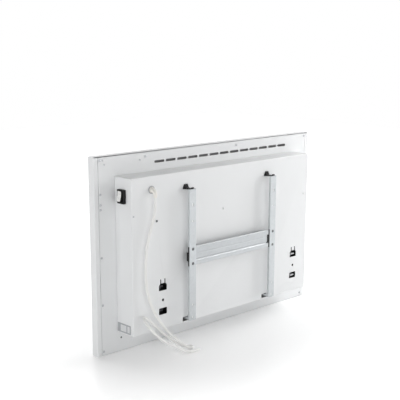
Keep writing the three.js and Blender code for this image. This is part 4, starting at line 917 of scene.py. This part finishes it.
def footOutlines(x):
    # the upper pocket with its two prong slots, the lower pocket and the hole between them
    feet = footOpenings
    half, (notch, notchDrop) = feet["width"] / 2, feet["cornerCut"]
    low, high = feet["upper"]
    inner, outer = about(feet["prongSpacing"] / 2, feet["prongWidth"] / 2)
    top, cut, lift = feet["prongTop"], high - notchDrop, high - notchDrop + notch * 1.6
    upper = [
        (x - half, low), (x + half, low), (x + half, cut), (x + outer, lift), (x + outer, top),
        (x + inner, top), (x + inner, high), (x - inner, high), (x - inner, top), (x - outer, top),
        (x - outer, lift), (x - half, cut),
    ]
    z, radius = feet["hole"]
    return [
        roundCorners(upper, cover["cornerRadius"], 3),
        roundRectangle(about(x, half), feet["lower"], feet["corner"]),
        circle((x, z), radius),
    ]


def makeCoverTools():
    outlines = [outline for x in footOpenings["places"] for outline in footOutlines(x)]
    for x in bracketOpenings["places"]:
        outlines.append(lockOutline(
            x, *[bracketOpenings[key] for key in ("lockBottom", "lockBase", "lockTop")]))
        outlines.append(roundRectangle(about(x, bracketOpenings["hookWidth"] / 2), bracketOpenings["hook"],
                                       cover["cornerRadius"], 3))
    outlines += [circle(place, coverHoles["screwRadius"], 16) for place in coverHoles["screws"]]
    x, z, radius = coverHoles["gland"]
    outlines.append(circle((x, z), radius, 32))
    tools = bmesh.new()
    for outline in outlines:
        addPrism(tools, "y", outline, depths["coverInside"] - 3, depths["cover"] + 3)
    addPrism(tools, "x", roundRectangle(*coverHoles["switch"], 1.0, 3), cover["left"] - 4, cover["left"] + 3)
    for station in range(vents["stations"]):
        x = vents["first"] - station * vents["pitch"]
        for i in range(vents["slots"]):
            y = vents["middle"] + (i - (vents["slots"] - 1) / 2) * vents["slotPitch"]
            slot = roundRectangle(about(x, vents["width"] / 2), about(y, vents["length"] / 2),
                                  vents["corner"], 2)
            for wall in (cover["top"], cover["bottom"]):
                addPrism(tools, "z", slot, *about(wall, 4))
    return toObject("cover_tools", tools)


def makeRearCover():
    back, seat, sheet = depths["cover"], depths["plate"] + cover["seat"], cover["sheet"]
    right, left, bottom, top = [cover[key] for key in ("right", "left", "bottom", "top")]
    # all folds but those at the open side
    shell = roundBlock("rear_housing", (right, left), (seat, back), (bottom, top), cover["fold"], 4,
                       lambda middle: middle.y > seat + 1)
    combine(shell, roundBlock(
        "hollow", (right + sheet, left - sheet), (seat - 4, back - sheet), (bottom + sheet, top - sheet),
        cover["insideFold"], 3, lambda middle: middle.y > seat - 3))
    combine(shell, makeCoverTools())
    return soften(shell, 0.18)


finishPiece(makeRearCover(), "heater", "whitePaint", "white_paint", "rear_cover")
coverScrews = {
    "terminal_screw": ("darkSteel", "dark_steel"), "cover_screw_middle": ("whitePaint", "white_paint"),
    "cover_screw_right": ("whitePaint", "white_paint"),
}
for (node, look), place in zip(coverScrews.items(), coverHoles["screws"]):
    setHeads(node + "_head", screwModel, [place], depths["cover"], *look, node, seed=9)
setHeads("cover_rivet", rivetModel, [coverHoles["rivet"]], depths["cover"], "screwSteel", "zinc_steel")
print("rear cover cut")


# rating plate, left bare: a rolled rim round a plain field

ratingPlate = {
    "face": 292.9, "back": 292.3, "y": (-26.3, 16.7), "z": (50.3, 70.8), "rim": 1.3, "sink": 0.24,
    "cornerRadius": 1.2, "fieldTop": 0.12, "fieldMargin": 3.0, "fields": [(-17.3, 2.3), (5.7, 13.7)],
    "fieldCorner": 0.5,
}


def inset(limits, margin):
    return limits[0] + margin, limits[1] - margin


def makeRatingPlate():
    face, corner, rim = ratingPlate["face"], ratingPlate["cornerRadius"], ratingPlate["rim"]
    sides, heights = ratingPlate["y"], ratingPlate["z"]
    piece = prism("x", roundRectangle(sides, heights, corner), ratingPlate["back"], face, "bare_plate")
    field = roundRectangle(inset(sides, rim), inset(heights, rim), corner * 0.7)
    combine(piece, prism("x", field, face - ratingPlate["sink"], face + 1))
    return soften(piece, 0.08)


def makeRatingFields():
    # two pale empty fields, set into the grey ground
    heights = inset(ratingPlate["z"], ratingPlate["fieldMargin"])
    fields = bmesh.new()
    for limits in ratingPlate["fields"]:
        addPrism(fields, "x", roundRectangle(limits, heights, ratingPlate["fieldCorner"], 3),
                 ratingPlate["face"] - ratingPlate["sink"], ratingPlate["face"] - ratingPlate["fieldTop"])
    return toObject("bare_fields", fields)


finishPiece(makeRatingPlate(), "heater", "greyPlastic", "plate_foil", "rating_plate")
finishPiece(makeRatingFields(), "heater", "plateFoil", "plate_foil")


# power switch

switch = {
    "face": 298.5, "wall": 292.3, "y": (-15.05, 7.45), "z": (338.75, 369.25), "cornerRadius": 2.2,
    "bodyY": (-14.05, 6.45), "bodyZ": (339.75, 368.25), "bodyEnd": 272.0, "pocketDepth": 11.0, "play": 0.3,
    "axis": (295.5, 354.0), "middle": -3.8, "bearing": 1.45, "bearingReach": 8.25,
    "width": 13.5, "height": 23.0, "corner": 7.5, "tilt": 10.0, "trunnion": 1.2, "trunnionReach": 7.95,
    "faceStep": 0.4, "faceInset": 1.0,
}


def makeSwitchHousing():
    wall, face, middle = switch["wall"], switch["face"], switch["middle"]
    body = bmesh.new()
    addPrism(body, "x", roundRectangle(switch["y"], switch["z"], switch["cornerRadius"], 5), wall, face)
    roundRim(body, "x", face, 0.9, 3, 0.5)
    piece = toObject("switch_frame", body)
    rear = roundRectangle(switch["bodyY"], switch["bodyZ"], 0.8, 3)
    combine(piece, prism("x", rear, switch["bodyEnd"], wall + 2), "UNION")
    # the pocket leaves room for the rocker's swing
    swing = math.hypot(switch["height"] / 2, switch["corner"])
    spread = math.atan2(switch["corner"], switch["height"] / 2)
    halfHeight = swing * math.cos(spread - math.radians(switch["tilt"])) + switch["play"]
    pocket = roundRectangle(about(middle, switch["width"] / 2 + switch["play"]),
                            about(switch["axis"][1], halfHeight), 0.9, 3)
    combine(piece, prism("x", pocket, face - switch["pocketDepth"], face + 1))
    bearing = circle(switch["axis"], switch["bearing"], 20)
    combine(piece, prism("y", bearing, *about(middle, switch["bearingReach"])))
    return soften(piece, 0.2)


def rockerTurn():
    # drawn square and turned to how it rests, its lower end proud
    pivot = Matrix.Translation((switch["axis"][0], switch["middle"], switch["axis"][1]))
    return pivot @ Matrix.Rotation(-math.radians(switch["tilt"]), 4, "Y") @ pivot.inverted()


def rockerFaceAt(z):
    # how far out the finger face lies at a height over the axis
    up = z / (switch["height"] / 2)
    return switch["axis"][0] + switch["corner"] * (0.84 + 0.16 * up * up * (1.6 - 0.6 * abs(up)))


def faceLine(heights, lift=0.0):
    return [(rockerFaceAt(z) + lift, switch["axis"][1] + z) for z in heights]


def turnRocker(piece):
    piece.data.transform(Matrix.Scale(mm, 4) @ rockerTurn() @ Matrix.Scale(1 / mm, 4))
    return piece


def makeRocker():
    axisX, axisZ = switch["axis"]
    half, step, deep = switch["height"] / 2, switch["height"] / 12, axisX - switch["corner"] * 0.5
    face = faceLine([i * step for i in range(-6, 7)], -switch["faceStep"])
    back = [(axisX, axisZ + half), (deep, axisZ + half * 0.45),
            (deep, axisZ - half * 0.45), (axisX, axisZ - half)]
    piece = prism("y", face + back, *about(switch["middle"], switch["width"] / 2), "rocker_body")
    pins = circle(switch["axis"], switch["trunnion"], 20)
    combine(piece, prism("y", pins, *about(switch["middle"], switch["trunnionReach"])), "UNION")
    return turnRocker(soften(piece, 0.45, 3, 35))


def makeRockerFace():
    # the white finger plate, a little narrower than the rocker and rounded at its corners
    axisX, axisZ = switch["axis"]
    reachY, reachZ = switch["width"] / 2 - switch["faceInset"], switch["height"] / 2 - 0.5
    blank = roundRectangle(about(switch["middle"], reachY), about(axisZ, reachZ), 1.6, 5)
    piece = prism("x", blank, axisX, axisX + switch["corner"] * 2, "rocker_face")
    levels = [i * switch["height"] / 12 for i in range(-7, 8)]
    curved = faceLine(levels) + faceLine(levels[::-1], -switch["faceStep"] - 0.3)
    combine(piece, prism("y", curved, *about(switch["middle"], reachY + 1)), "INTERSECT")
    return turnRocker(soften(piece, 0.15, 2, 40))


rockerMarks = {
    "rise": 0.12, "root": -0.2, "ring": (2.1, 1.6), "ringHeight": 6.2, "ringSides": 28, "bar": (0.55, 5.0),
    "barHeight": -3.6, "barSteps": 6,
}


def makeRockerMarks():
    # a ring over a bar, thin raised marks on the two finger faces
    body = bmesh.new()
    rise, root = rockerMarks["rise"], rockerMarks["root"]

    def addRing(points):
        # each point is (lift over the face, across, height)
        return [body.verts.new((rockerFaceAt(z) + lift, switch["middle"] + y, switch["axis"][1] + z))
                for lift, y, z in points]

    outer, inner = rockerMarks["ring"]
    loft(body, [
        addRing([(lift, y, z) for y, z in circle((0, rockerMarks["ringHeight"]), radius,
                                                 rockerMarks["ringSides"])])
        for radius, lift in ((outer, root), (outer, rise), (inner, rise), (inner, root))
    ], closed=True)
    half, tall = rockerMarks["bar"][0] / 2, rockerMarks["bar"][1]
    columns = []
    for i in range(rockerMarks["barSteps"] + 1):
        z = rockerMarks["barHeight"] + tall * (i / rockerMarks["barSteps"] - 0.5)
        columns.append(addRing([(root, -half, z), (rise, -half, z), (rise, half, z), (root, half, z)]))
    body.faces.new(columns[0])
    body.faces.new(columns[-1])
    loft(body, columns)
    bmesh.ops.recalc_face_normals(body, faces=body.faces)
    body.transform(rockerTurn())
    return toObject("rocker_marks", body)


finishPiece(makeSwitchHousing(), "heater", "blackPlastic", "black_plastic", "switch_housing")
finishPiece(makeRocker(), "switch_rocker", "blackPlastic", "black_plastic")
finishPiece(makeRockerFace(), "switch_rocker", "whitePlastic", "white_plastic", "rocker")
finishPiece(makeRockerMarks(), "switch_rocker", "greyPlastic", "black_plastic")
print("switch made")


# cord gland: neck, flange and a tapering elbow boot in one moulding

gland = {
    "x": 237.0, "z": 365.2, "neckEnd": 18.2, "neck": 6.0, "flangeStart": 25.5, "flange": 8.5,
    "flangeEnd": 28.0, "bend": 10.5, "bootStart": 5.4, "bootEnd": 3.9, "tail": 4.4, "bendSteps": 36,
    "tailSteps": 8, "grooves": 5, "grooveDepth": 0.35, "grooveStart": 0.3, "ringInside": 7.1,
    "ringEdge": 0.35, "foot": 6.8,
}


def makeGland():
    x, z, bend = gland["x"], gland["z"], gland["bend"]
    side, back, down = Vector((1, 0, 0)), Vector((0, 1, 0)), Vector((0, 0, -1))
    flange, neck, tip = gland["foot"], gland["neck"], gland["neckEnd"]
    start, end = gland["flangeStart"], gland["flangeEnd"]
    stations = [(Vector((x, y, z)), back, side, radius) for y, radius in (
        (tip, neck - 0.5), (tip + 0.5, neck), (start, neck), (start, flange - 0.4), (start + 0.4, flange),
        (end - 1.0, flange), (end - 0.45, flange - 0.3), (end - 0.1, flange - 1.0), (end, flange - 1.6),
        (end - 0.25, flange - 2.1), (end, flange - 2.5), (end + 0.3, gland["bootStart"]),
    )]
    length = bend * math.pi / 2 + gland["tail"]

    def radiusAt(distance):
        share = distance / length
        groove = gland["grooveDepth"] * max(0.0, math.sin(share * math.pi * 2 * gland["grooves"])) ** 3
        return (gland["bootStart"] - (gland["bootStart"] - gland["bootEnd"]) * share
                - (groove if share > gland["grooveStart"] else 0.0))

    for i in range(1, gland["bendSteps"] + 1):
        turn = math.pi / 2 * i / gland["bendSteps"]
        centre = Vector((x, end + bend * math.sin(turn), z - bend * (1 - math.cos(turn))))
        stations.append((centre, Vector((0, math.cos(turn), -math.sin(turn))), side, radiusAt(bend * turn)))
    last = stations[-1][0]
    steps = gland["tailSteps"]
    for i in range(1, steps + 1):
        drop = gland["tail"] * i / steps
        radius = radiusAt(bend * math.pi / 2 + drop) - (gland["ringEdge"] if i == steps else 0.0)
        stations.append((last + down * drop, down, side, radius))
    return shadeSmooth(toObject("cord_boot", sweepRings(stations, 32)), 55)


def makeGlandRing():
    # the ring that holds the boot's foot against the cover, its edges rounded
    outer, inner, edge = gland["flange"], gland["ringInside"], gland["ringEdge"]
    start, end = gland["flangeStart"], gland["flangeEnd"] - 0.4
    profile = [
        (inner, start), (outer - edge, start), (outer, start + edge), (outer, end - edge * 2),
        (outer - edge * 0.6, end - edge * 0.6), (outer - edge * 2, end), (inner + edge * 0.5, end),
        (inner, end - edge * 0.5),
    ]
    body = bmesh.new()
    loft(body, spun(body, profile, (gland["x"], gland["z"]), 40), closed=True)
    bmesh.ops.recalc_face_normals(body, faces=body.faces)
    return shadeSmooth(toObject("gland_ring", body), 50)


finishPiece(makeGland(), "heater", "bootRubber", "cord_sheath", "cord_gland")
finishPiece(makeGlandRing(), "heater", "greyPlastic", "cord_sheath")
print("gland made")


# wall bracket: uprights

uprights = {
    "left": 136.5, "right": -129.5, "width": 20.0, "flange": 6.0, "sheet": 1.5, "bottom": 57.5, "top": 357.5,
    "fold": 1.6, "holes": [94.1, 286.1], "slots": [64.1, 323.0], "holeRadius": 2.5, "slotLength": 8.0,
    "bolts": [189.5, 222.5], "boltHole": 3.6, "window": (183.7, 228.3), "tongue": (199.7, 212.3),
    "tongueDepth": (45.3, 47.1), "hookWidth": 12.0, "hookFold": 1.4, "noseFront": 20.3, "noseBack": 21.8,
    "noseTop": 62.85, "wallGap": 0.8,
}


def makeUpright(name, x):
    half, sheet, wall = uprights["width"] / 2, uprights["sheet"], depths["wall"]
    flangeFront, inside = wall - uprights["flange"], wall - sheet
    left, right = about(x, half)
    section = [
        (left, flangeFront, 0.2), (left + sheet, flangeFront, 0.2), (left + sheet, inside, 0.35),
        (right - sheet, inside, 0.35), (right - sheet, flangeFront, 0.2), (right, flangeFront, 0.2),
        (right, wall, 1.0), (left, wall, 1.0),
    ]
    bottom, top = uprights["bottom"], uprights["top"]
    piece = foldedBar(name, section, (0, 0, bottom), (0, 0, top), uprights["fold"], "galvanised")
    # the hook: a strip from the channel's foot through the cover, its nose turned up
    front, back, noseTop = -uprights["noseFront"], -uprights["noseBack"], -uprights["noseTop"]
    root, under = uprights["wallGap"] - wall, -(bottom + sheet)
    hook = [(front, -bottom, 1.0), (front, noseTop, 0.4), (back, noseTop, 0.4), (back, under, 0.35),
            (root, under, 0.1), (root, -bottom, 0.1)]
    start, end = about(x, uprights["hookWidth"] / 2)
    combine(piece, foldedBar("hook", hook, (start, 0, 0), (end, 0, 0), uprights["hookFold"],
                             "galvanised"), "UNION")
    radius = uprights["holeRadius"]
    outlines = [circle((x, z), radius) for z in uprights["holes"]]
    outlines += [
        roundRectangle(about(x, radius), about(z, uprights["slotLength"] / 2), radius * 0.995, 8)
        for z in uprights["slots"]
    ]
    outlines += [circle((x, z), uprights["boltHole"]) for z in uprights["bolts"]]
    tools = bmesh.new()
    for outline in outlines:
        addPrism(tools, "y", outline, inside - 2, wall + 2)
    addBlock(tools, (right - sheet - 1, right + 2), (flangeFront - 2, inside), uprights["window"])
    addBlock(tools, (left - 2, left + sheet + 1), uprights["tongueDepth"], uprights["tongue"])
    combine(piece, toObject("upright_tools", tools))
    return soften(piece, 0.15)


for side in ("left", "right"):
    finishPiece(makeUpright("bracket_rail_" + side, uprights[side]), "wall_bracket", "galvanised",
                "galvanised", "upright_" + side)
print("uprights folded")


# crossbar: one grooved sheet, its edges turned in

crossbar = {
    "bottom": 184.5, "height": 43.0, "face": 46.8, "sheet": 1.2, "edge": 3.4, "rib": 1.5, "fold": 0.9,
    "right": -116.9, "left": 126.2, "tongueRoot": 6.5, "tongueReach": 5.0, "tongueHeight": 12.0,
    "notch": (195.7, 216.3), "notchEnd": -111.7,
}
# section up the bar, in shares of its height and of its grooves' depth
ribShares = [
    (0, 0), (0.225, 0), (0.262, -1), (0.305, -1), (0.342, 0), (0.585, 0), (0.61, -0.4), (0.635, 0), (0.95, 0),
    (1, -0.4),
]


def makeCrossbar():
    bar = crossbar
    low, high, face, sheet = bar["bottom"], bar["bottom"] + bar["height"], bar["face"], bar["sheet"]
    edge, inner = face - bar["edge"], face - sheet
    back = [(face + out * bar["rib"], low + up * bar["height"]) for up, out in ribShares]
    front = [(y - sheet, z) for y, z in reversed(back[1:-1])]
    corners = [(*p, 1.0) for p in back] + [
        (edge, high, 0.2), (edge, high - sheet, 0.2), (inner, high - sheet, 0.3),
    ]
    corners += [(*p, 1.0) for p in front] + [
        (inner, low + sheet, 0.3), (edge, low + sheet, 0.2), (edge, low, 0.2),
    ]
    section = [(-y, -z, share) for y, z, share in corners]
    left, right = bar["left"], bar["right"]
    piece = foldedBar("bracket_bar", section, (right, 0, 0), (left, 0, 0), bar["fold"], "barZinc", 3)
    tongue = about((low + high) / 2, bar["tongueHeight"] / 2)
    combine(piece, block((left - bar["tongueRoot"], left + bar["tongueReach"]), (inner, face),
                         tongue), "UNION")
    combine(piece, block((right - 2, bar["notchEnd"]), about(face, 8), bar["notch"]))
    return soften(piece, 0.12, 2, 50)


finishPiece(makeCrossbar(), "wall_bracket", "barZinc", "galvanised", "crossbar")
print("crossbar rolled")


# locks: a slider in each upright's top, its nose through the cover

lock = {
    "body": (8.2, 44.2, 47.2), "foot": 333.5, "shoulder": 356.5, "noseWidth": 8.6, "noseHeight": 2.8,
    "tooth": (21.0, 23.4), "toothTop": 365.4, "shield": (25.8, 26.8), "shieldBase": 19.2, "shieldTop": 8.8,
    "seat": 0.6, "neckWidth": 3.2, "neck": (357.8, 359.0), "knob": (5.4, 3.0, 361.4), "wallGap": 0.3,
}


def makeLock(name, x):
    half, front, back = lock["body"]
    low = bracketOpenings["lockBottom"] + lock["seat"]
    toothFront, toothBack = lock["tooth"]
    neckLow, neckHigh = lock["neck"]
    knobWidth, knobDepth, knobTop = lock["knob"]
    wall = depths["wall"] - lock["wallGap"]
    nose, neck = about(x, lock["noseWidth"] / 2), about(x, lock["neckWidth"] / 2)
    piece = block(about(x, half), (front, back), (lock["foot"], lock["shoulder"]), name)
    for limits in (
        (nose, (toothFront, back), (low, low + lock["noseHeight"])),
        (nose, (toothFront, toothBack), (low, lock["toothTop"])),
        (neck, (front + 0.2, back), (lock["shoulder"] - 2, neckHigh)),
        (neck, (front + 0.2, wall), (neckLow, neckHigh)),
        (about(x, knobWidth / 2), (wall - knobDepth, wall), (neckLow, knobTop)),
    ):
        combine(piece, block(*limits), "UNION")
    shield = lockOutline(x, low, lock["shieldBase"], lock["shieldTop"])
    combine(piece, prism("y", shield, *lock["shield"]), "UNION")
    return soften(piece, 0.2)


for side in ("left", "right"):
    finishPiece(makeLock("lock_slider_" + side, uprights[side]), side + "_lock", "blackPlastic",
                "black_plastic", "lock_" + side)
print("locks set")


# foot sockets with their clips, and the bolts through the uprights

footSocket = {
    "half": 13.25, "y": (9.9, 23.9), "z": (78.9, 163.55), "floor": 12.9, "pocket": 11.2,
    "upper": (134.6, 152.4), "lower": (81.0, 96.0), "corner": 1.2, "prongTop": 162.3,
    "channel": (3.8, 14.7), "hole": (114.3, 2.6),
}
footClip = {
    "strip": (3.5, 13.2, 14.4), "tongueWidth": 13.0, "sheet": 1.2, "lip": 2.4, "upper": 144.2, "lower": 88.6,
    "hole": (114.3, 1.7), "reach": {"left": 18.2, "right": 23.6},
    # the left clip's near-black steel is painted shade for its deep pocket; the same clip on the right keeps
    # a lit steel
    "paint": {"left": "clipSteel", "right": "screwSteel"},
}
barBolt = {
    "shank": 2.6, "front": 43.6, "seat": 47.1, "head": 3.25, "face": 48.65, "rim": 0.5, "socket": (1.4, 0.8),
}


def makeFootSocket(name, x):
    piece = block(about(x, footSocket["half"]), footSocket["y"], footSocket["z"], name)
    low, high = footSocket["lower"], footSocket["upper"]
    wide = about(x, footSocket["pocket"])
    outlines = [roundRectangle(wide, limits, footSocket["corner"]) for limits in (high, low)]
    z, radius = footSocket["hole"]
    outlines.append(circle((x, z), radius))
    for side in (-1, 1):
        prong = about(x + side * footOpenings["prongSpacing"] / 2, footOpenings["prongWidth"] / 2)
        outlines.append(rectangle(prong, (high[1] - 2, footSocket["prongTop"])))
    cuts = [(outline, footSocket["y"][1] + 2) for outline in outlines]
    # the channel between the pockets, for the clip's strip
    wide, back = footSocket["channel"]
    cuts.append((rectangle(about(x, wide), (low[1] - 4, high[0] + 4)), back))
    for outline, end in cuts:
        combine(piece, prism("y", outline, footSocket["floor"], end))
    return soften(piece, 0.25)


def makeFootClip(name, x, reach):
    half, front, back = footClip["strip"]
    sheet, wide = footClip["sheet"] / 2, about(x, footClip["tongueWidth"] / 2)
    ends = (footClip["lower"], footClip["upper"])
    piece = block(about(x, half), (front, back), (ends[0] - sheet, ends[1] + sheet), name)
    for height in ends:
        for start, low in ((front, height - sheet),
                           (reach - footClip["sheet"], height + sheet - footClip["lip"])):
            combine(piece, block(wide, (start, reach), (low, height + sheet)), "UNION")
    z, radius = footClip["hole"]
    combine(piece, prism("y", circle((x, z), radius, 16), front - 2, back + 2))
    return soften(piece, 0.15)


def makeBarBolt(name, place):
    face = barBolt["face"]
    body = bmesh.new()
    addPrism(body, "y", circle(place, barBolt["head"], 32), barBolt["seat"], face)
    roundRim(body, "y", face, barBolt["rim"], 3, 0.6)
    piece = toObject(name, body)
    combine(piece, prism("y", circle(place, barBolt["shank"]), barBolt["front"],
                         barBolt["seat"] + 0.5), "UNION")
    radius, depth = barBolt["socket"]
    combine(piece, prism("y", circle(place, radius, 6), face - depth, face + 1))
    return soften(piece, 0.1)


for side, x in zip(("left", "right"), footOpenings["places"]):
    finishPiece(makeFootSocket("socket_moulding_" + side, x), "heater", "blackPlastic", "black_plastic",
                "foot_socket_" + side)
    finishPiece(makeFootClip("foot_spring_" + side, x, footClip["reach"][side]), "heater",
                footClip["paint"][side], "zinc_steel", "foot_clip_" + side)
    for level, height in zip(("lower", "upper"), uprights["bolts"]):
        which = side + "_" + level
        finishPiece(makeBarBolt("bolt_" + which, (uprights[side], height)), "wall_bracket",
                    "darkSteel", "dark_steel", "bar_bolt_" + which)
print("sockets, clips and bolts set")


# bar connectors: their CAD form with softened edges; the left one's boss stands out less

connectors = {"edge": 0.3, "leftBossEnd": ((150.8, 159.8), (40, 49), (190, 222))}
for side in ("left", "right"):
    node = "bar_connector_" + side
    moulding = cadCopy(node, node + "_moulding")
    if side == "left":
        combine(moulding, block(*connectors["leftBossEnd"]))
    finishPiece(soften(moulding, connectors["edge"]), "wall_bracket", "blackPlastic", "black_plastic", node)
print("connectors softened")


# inner parts: the CAD's own solids in their real finishes

innerFinishes = {
    "whitePlastic": ["gland_nut", "cord_clamp", "terminal_block", "control_tray"],
    "blackPlastic": ["wire_grommet", "control_capacitor", "room_sensor"],
    "zincSteel": [
        "side_rail_left", "side_rail_right", "top_rail", "cover_rail", "terminal_post", "cover_post_middle",
        "cover_post_right", "switch_blade_upper", "switch_blade_lower", "clamp_screw", "element_support_left",
        "element_support_right",
    ],
    "cordSheath": ["inner_lead"],
    "leadSheath": ["switch_lead", "control_lead", "element_lead", "film_lead", "sensor_lead"],
    "film": ["heating_film"],
    "wool": ["insulation_mat"],
    "finAluminium": ["finned_element"],
    "ceramic": ["element_insulator_left", "element_insulator_right", "thermal_cutout"],
    "board": ["control_board"],
    "relay": ["control_relay"],
}
for paint, nodes in innerFinishes.items():
    for node in nodes:
        cadNodes[node].data.materials.clear()
        cadNodes[node].data.materials.append(paints[paint])
for model in (screwModel, rivetModel):
    bpy.data.objects.remove(model)
print("inner parts finished")


# floor, world and lamps

studio = {
    "floorHalf": 4.0, "floorColor": (0.93, 0.93, 0.93), "floorLift": 0.12, "floorRoughness": 0.32,
    "clearLift": 0.75, "clear": (0.13, 0.6), "alongShare": 0.5, "world": 0.50, "worldTop": 0.07,
    "worldHeights": (0.15, 0.7),
}
lamps = {
    # name: place, aim, width, height, watts
    "highRight": ((-1.3, 0.3, 0.9), (-0.2, 0, 0.3), 1.25, 1.0, 21.5),
    "fillLeft": ((2.0, 0.15, 0.7), (0.2, 0, 0.25), 1.6, 1.2, 11.0),
    "lowFill": ((-0.3, 1.0, 0.1), (-0.1, 0, 0.1), 1.2, 0.3, 0.35),
    "frontFill": ((0.9, 2.6, 0.35), (0, 0, 0.2), 2.0, 1.4, 21.0),
    "backLight": ((0, -1.8, 1.5), (0, 0.3, 0), 2.2, 1.4, 26.0),
}


def seenRays(tree):
    # 1 where the camera or a gloss looks, 0 where light is gathered
    rays = addNode(tree, "ShaderNodeLightPath").outputs
    return calculate(tree, "MAXIMUM", rays["Is Camera Ray"], rays["Is Glossy Ray"]), rays


def makeFloor():
    reach = studio["floorHalf"]
    mesh = bpy.data.meshes.new("floor")
    mesh.from_pydata([(x, y, 0) for x, y in rectangle((-reach, reach), (-reach, reach))], [], [(0, 1, 2, 3)])
    material = bpy.data.materials.new("floorWhite")
    material.use_nodes = True
    tree = material.node_tree
    surface = tree.nodes["Principled BSDF"].inputs
    surface["Base Color"].default_value = (*studio["floorColor"], 1)
    surface["Roughness"].default_value = studio["floorRoughness"]
    surface["Emission Color"].default_value = (1, 1, 1, 1)
    # the floor clears to white away from the object
    place = addNode(tree, "ShaderNodeTexCoord").outputs["Object"]
    narrowed = addNode(tree, "ShaderNodeVectorMath", {"operation": "MULTIPLY"}, {
        0: place, 1: (studio["alongShare"], 1, 1),
    })
    away = addNode(tree, "ShaderNodeVectorMath", {"operation": "LENGTH"}, {0: narrowed.outputs["Vector"]})
    lift = mapRange(tree, away.outputs["Value"], studio["clear"], (studio["floorLift"], studio["clearLift"]),
                    "SMOOTHSTEP")
    tree.links.new(calculate(tree, "MULTIPLY", seenRays(tree)[0], lift), surface["Emission Strength"])
    mesh.materials.append(material)
    newObject("floor", mesh)


def makeWorld():
    world = bpy.data.worlds.new("studio")
    world.use_nodes = True
    bpy.context.scene.world = world
    tree = world.node_tree
    tree.nodes.clear()
    place = addNode(tree, "ShaderNodeTexCoord").outputs["Generated"]
    parts = addNode(tree, "ShaderNodeSeparateXYZ", None, {"Vector": place})
    height = mapRange(tree, parts.outputs["Z"], studio["worldHeights"], (studio["world"], studio["worldTop"]))
    seen, rays = seenRays(tree)
    clear = calculate(tree, "MAXIMUM", seen, rays["Is Transmission Ray"])
    strength = addNode(tree, "ShaderNodeMix", {"data_type": "FLOAT"}, {
        "Factor": clear, "A": height, "B": 1.0,
    })
    sky = addNode(tree, "ShaderNodeBackground", None, {
        "Color": (1, 1, 1, 1), "Strength": strength.outputs["Result"],
    })
    addNode(tree, "ShaderNodeOutputWorld", None, {"Surface": sky.outputs["Background"]})


def makeLamps():
    for name, (place, aim, width, height, watts) in lamps.items():
        light = bpy.data.lights.new(name, "AREA")
        light.shape = "RECTANGLE"
        light.size, light.size_y, light.energy = width, height, watts
        lamp = newObject(name, light)
        lamp.location = place
        lamp.rotation_euler = (Vector(aim) - Vector(place)).to_track_quat("-Z", "Y").to_euler()


makeFloor()
makeWorld()
makeLamps()
bpy.context.scene.view_settings.view_transform = "Standard"
print("studio set")
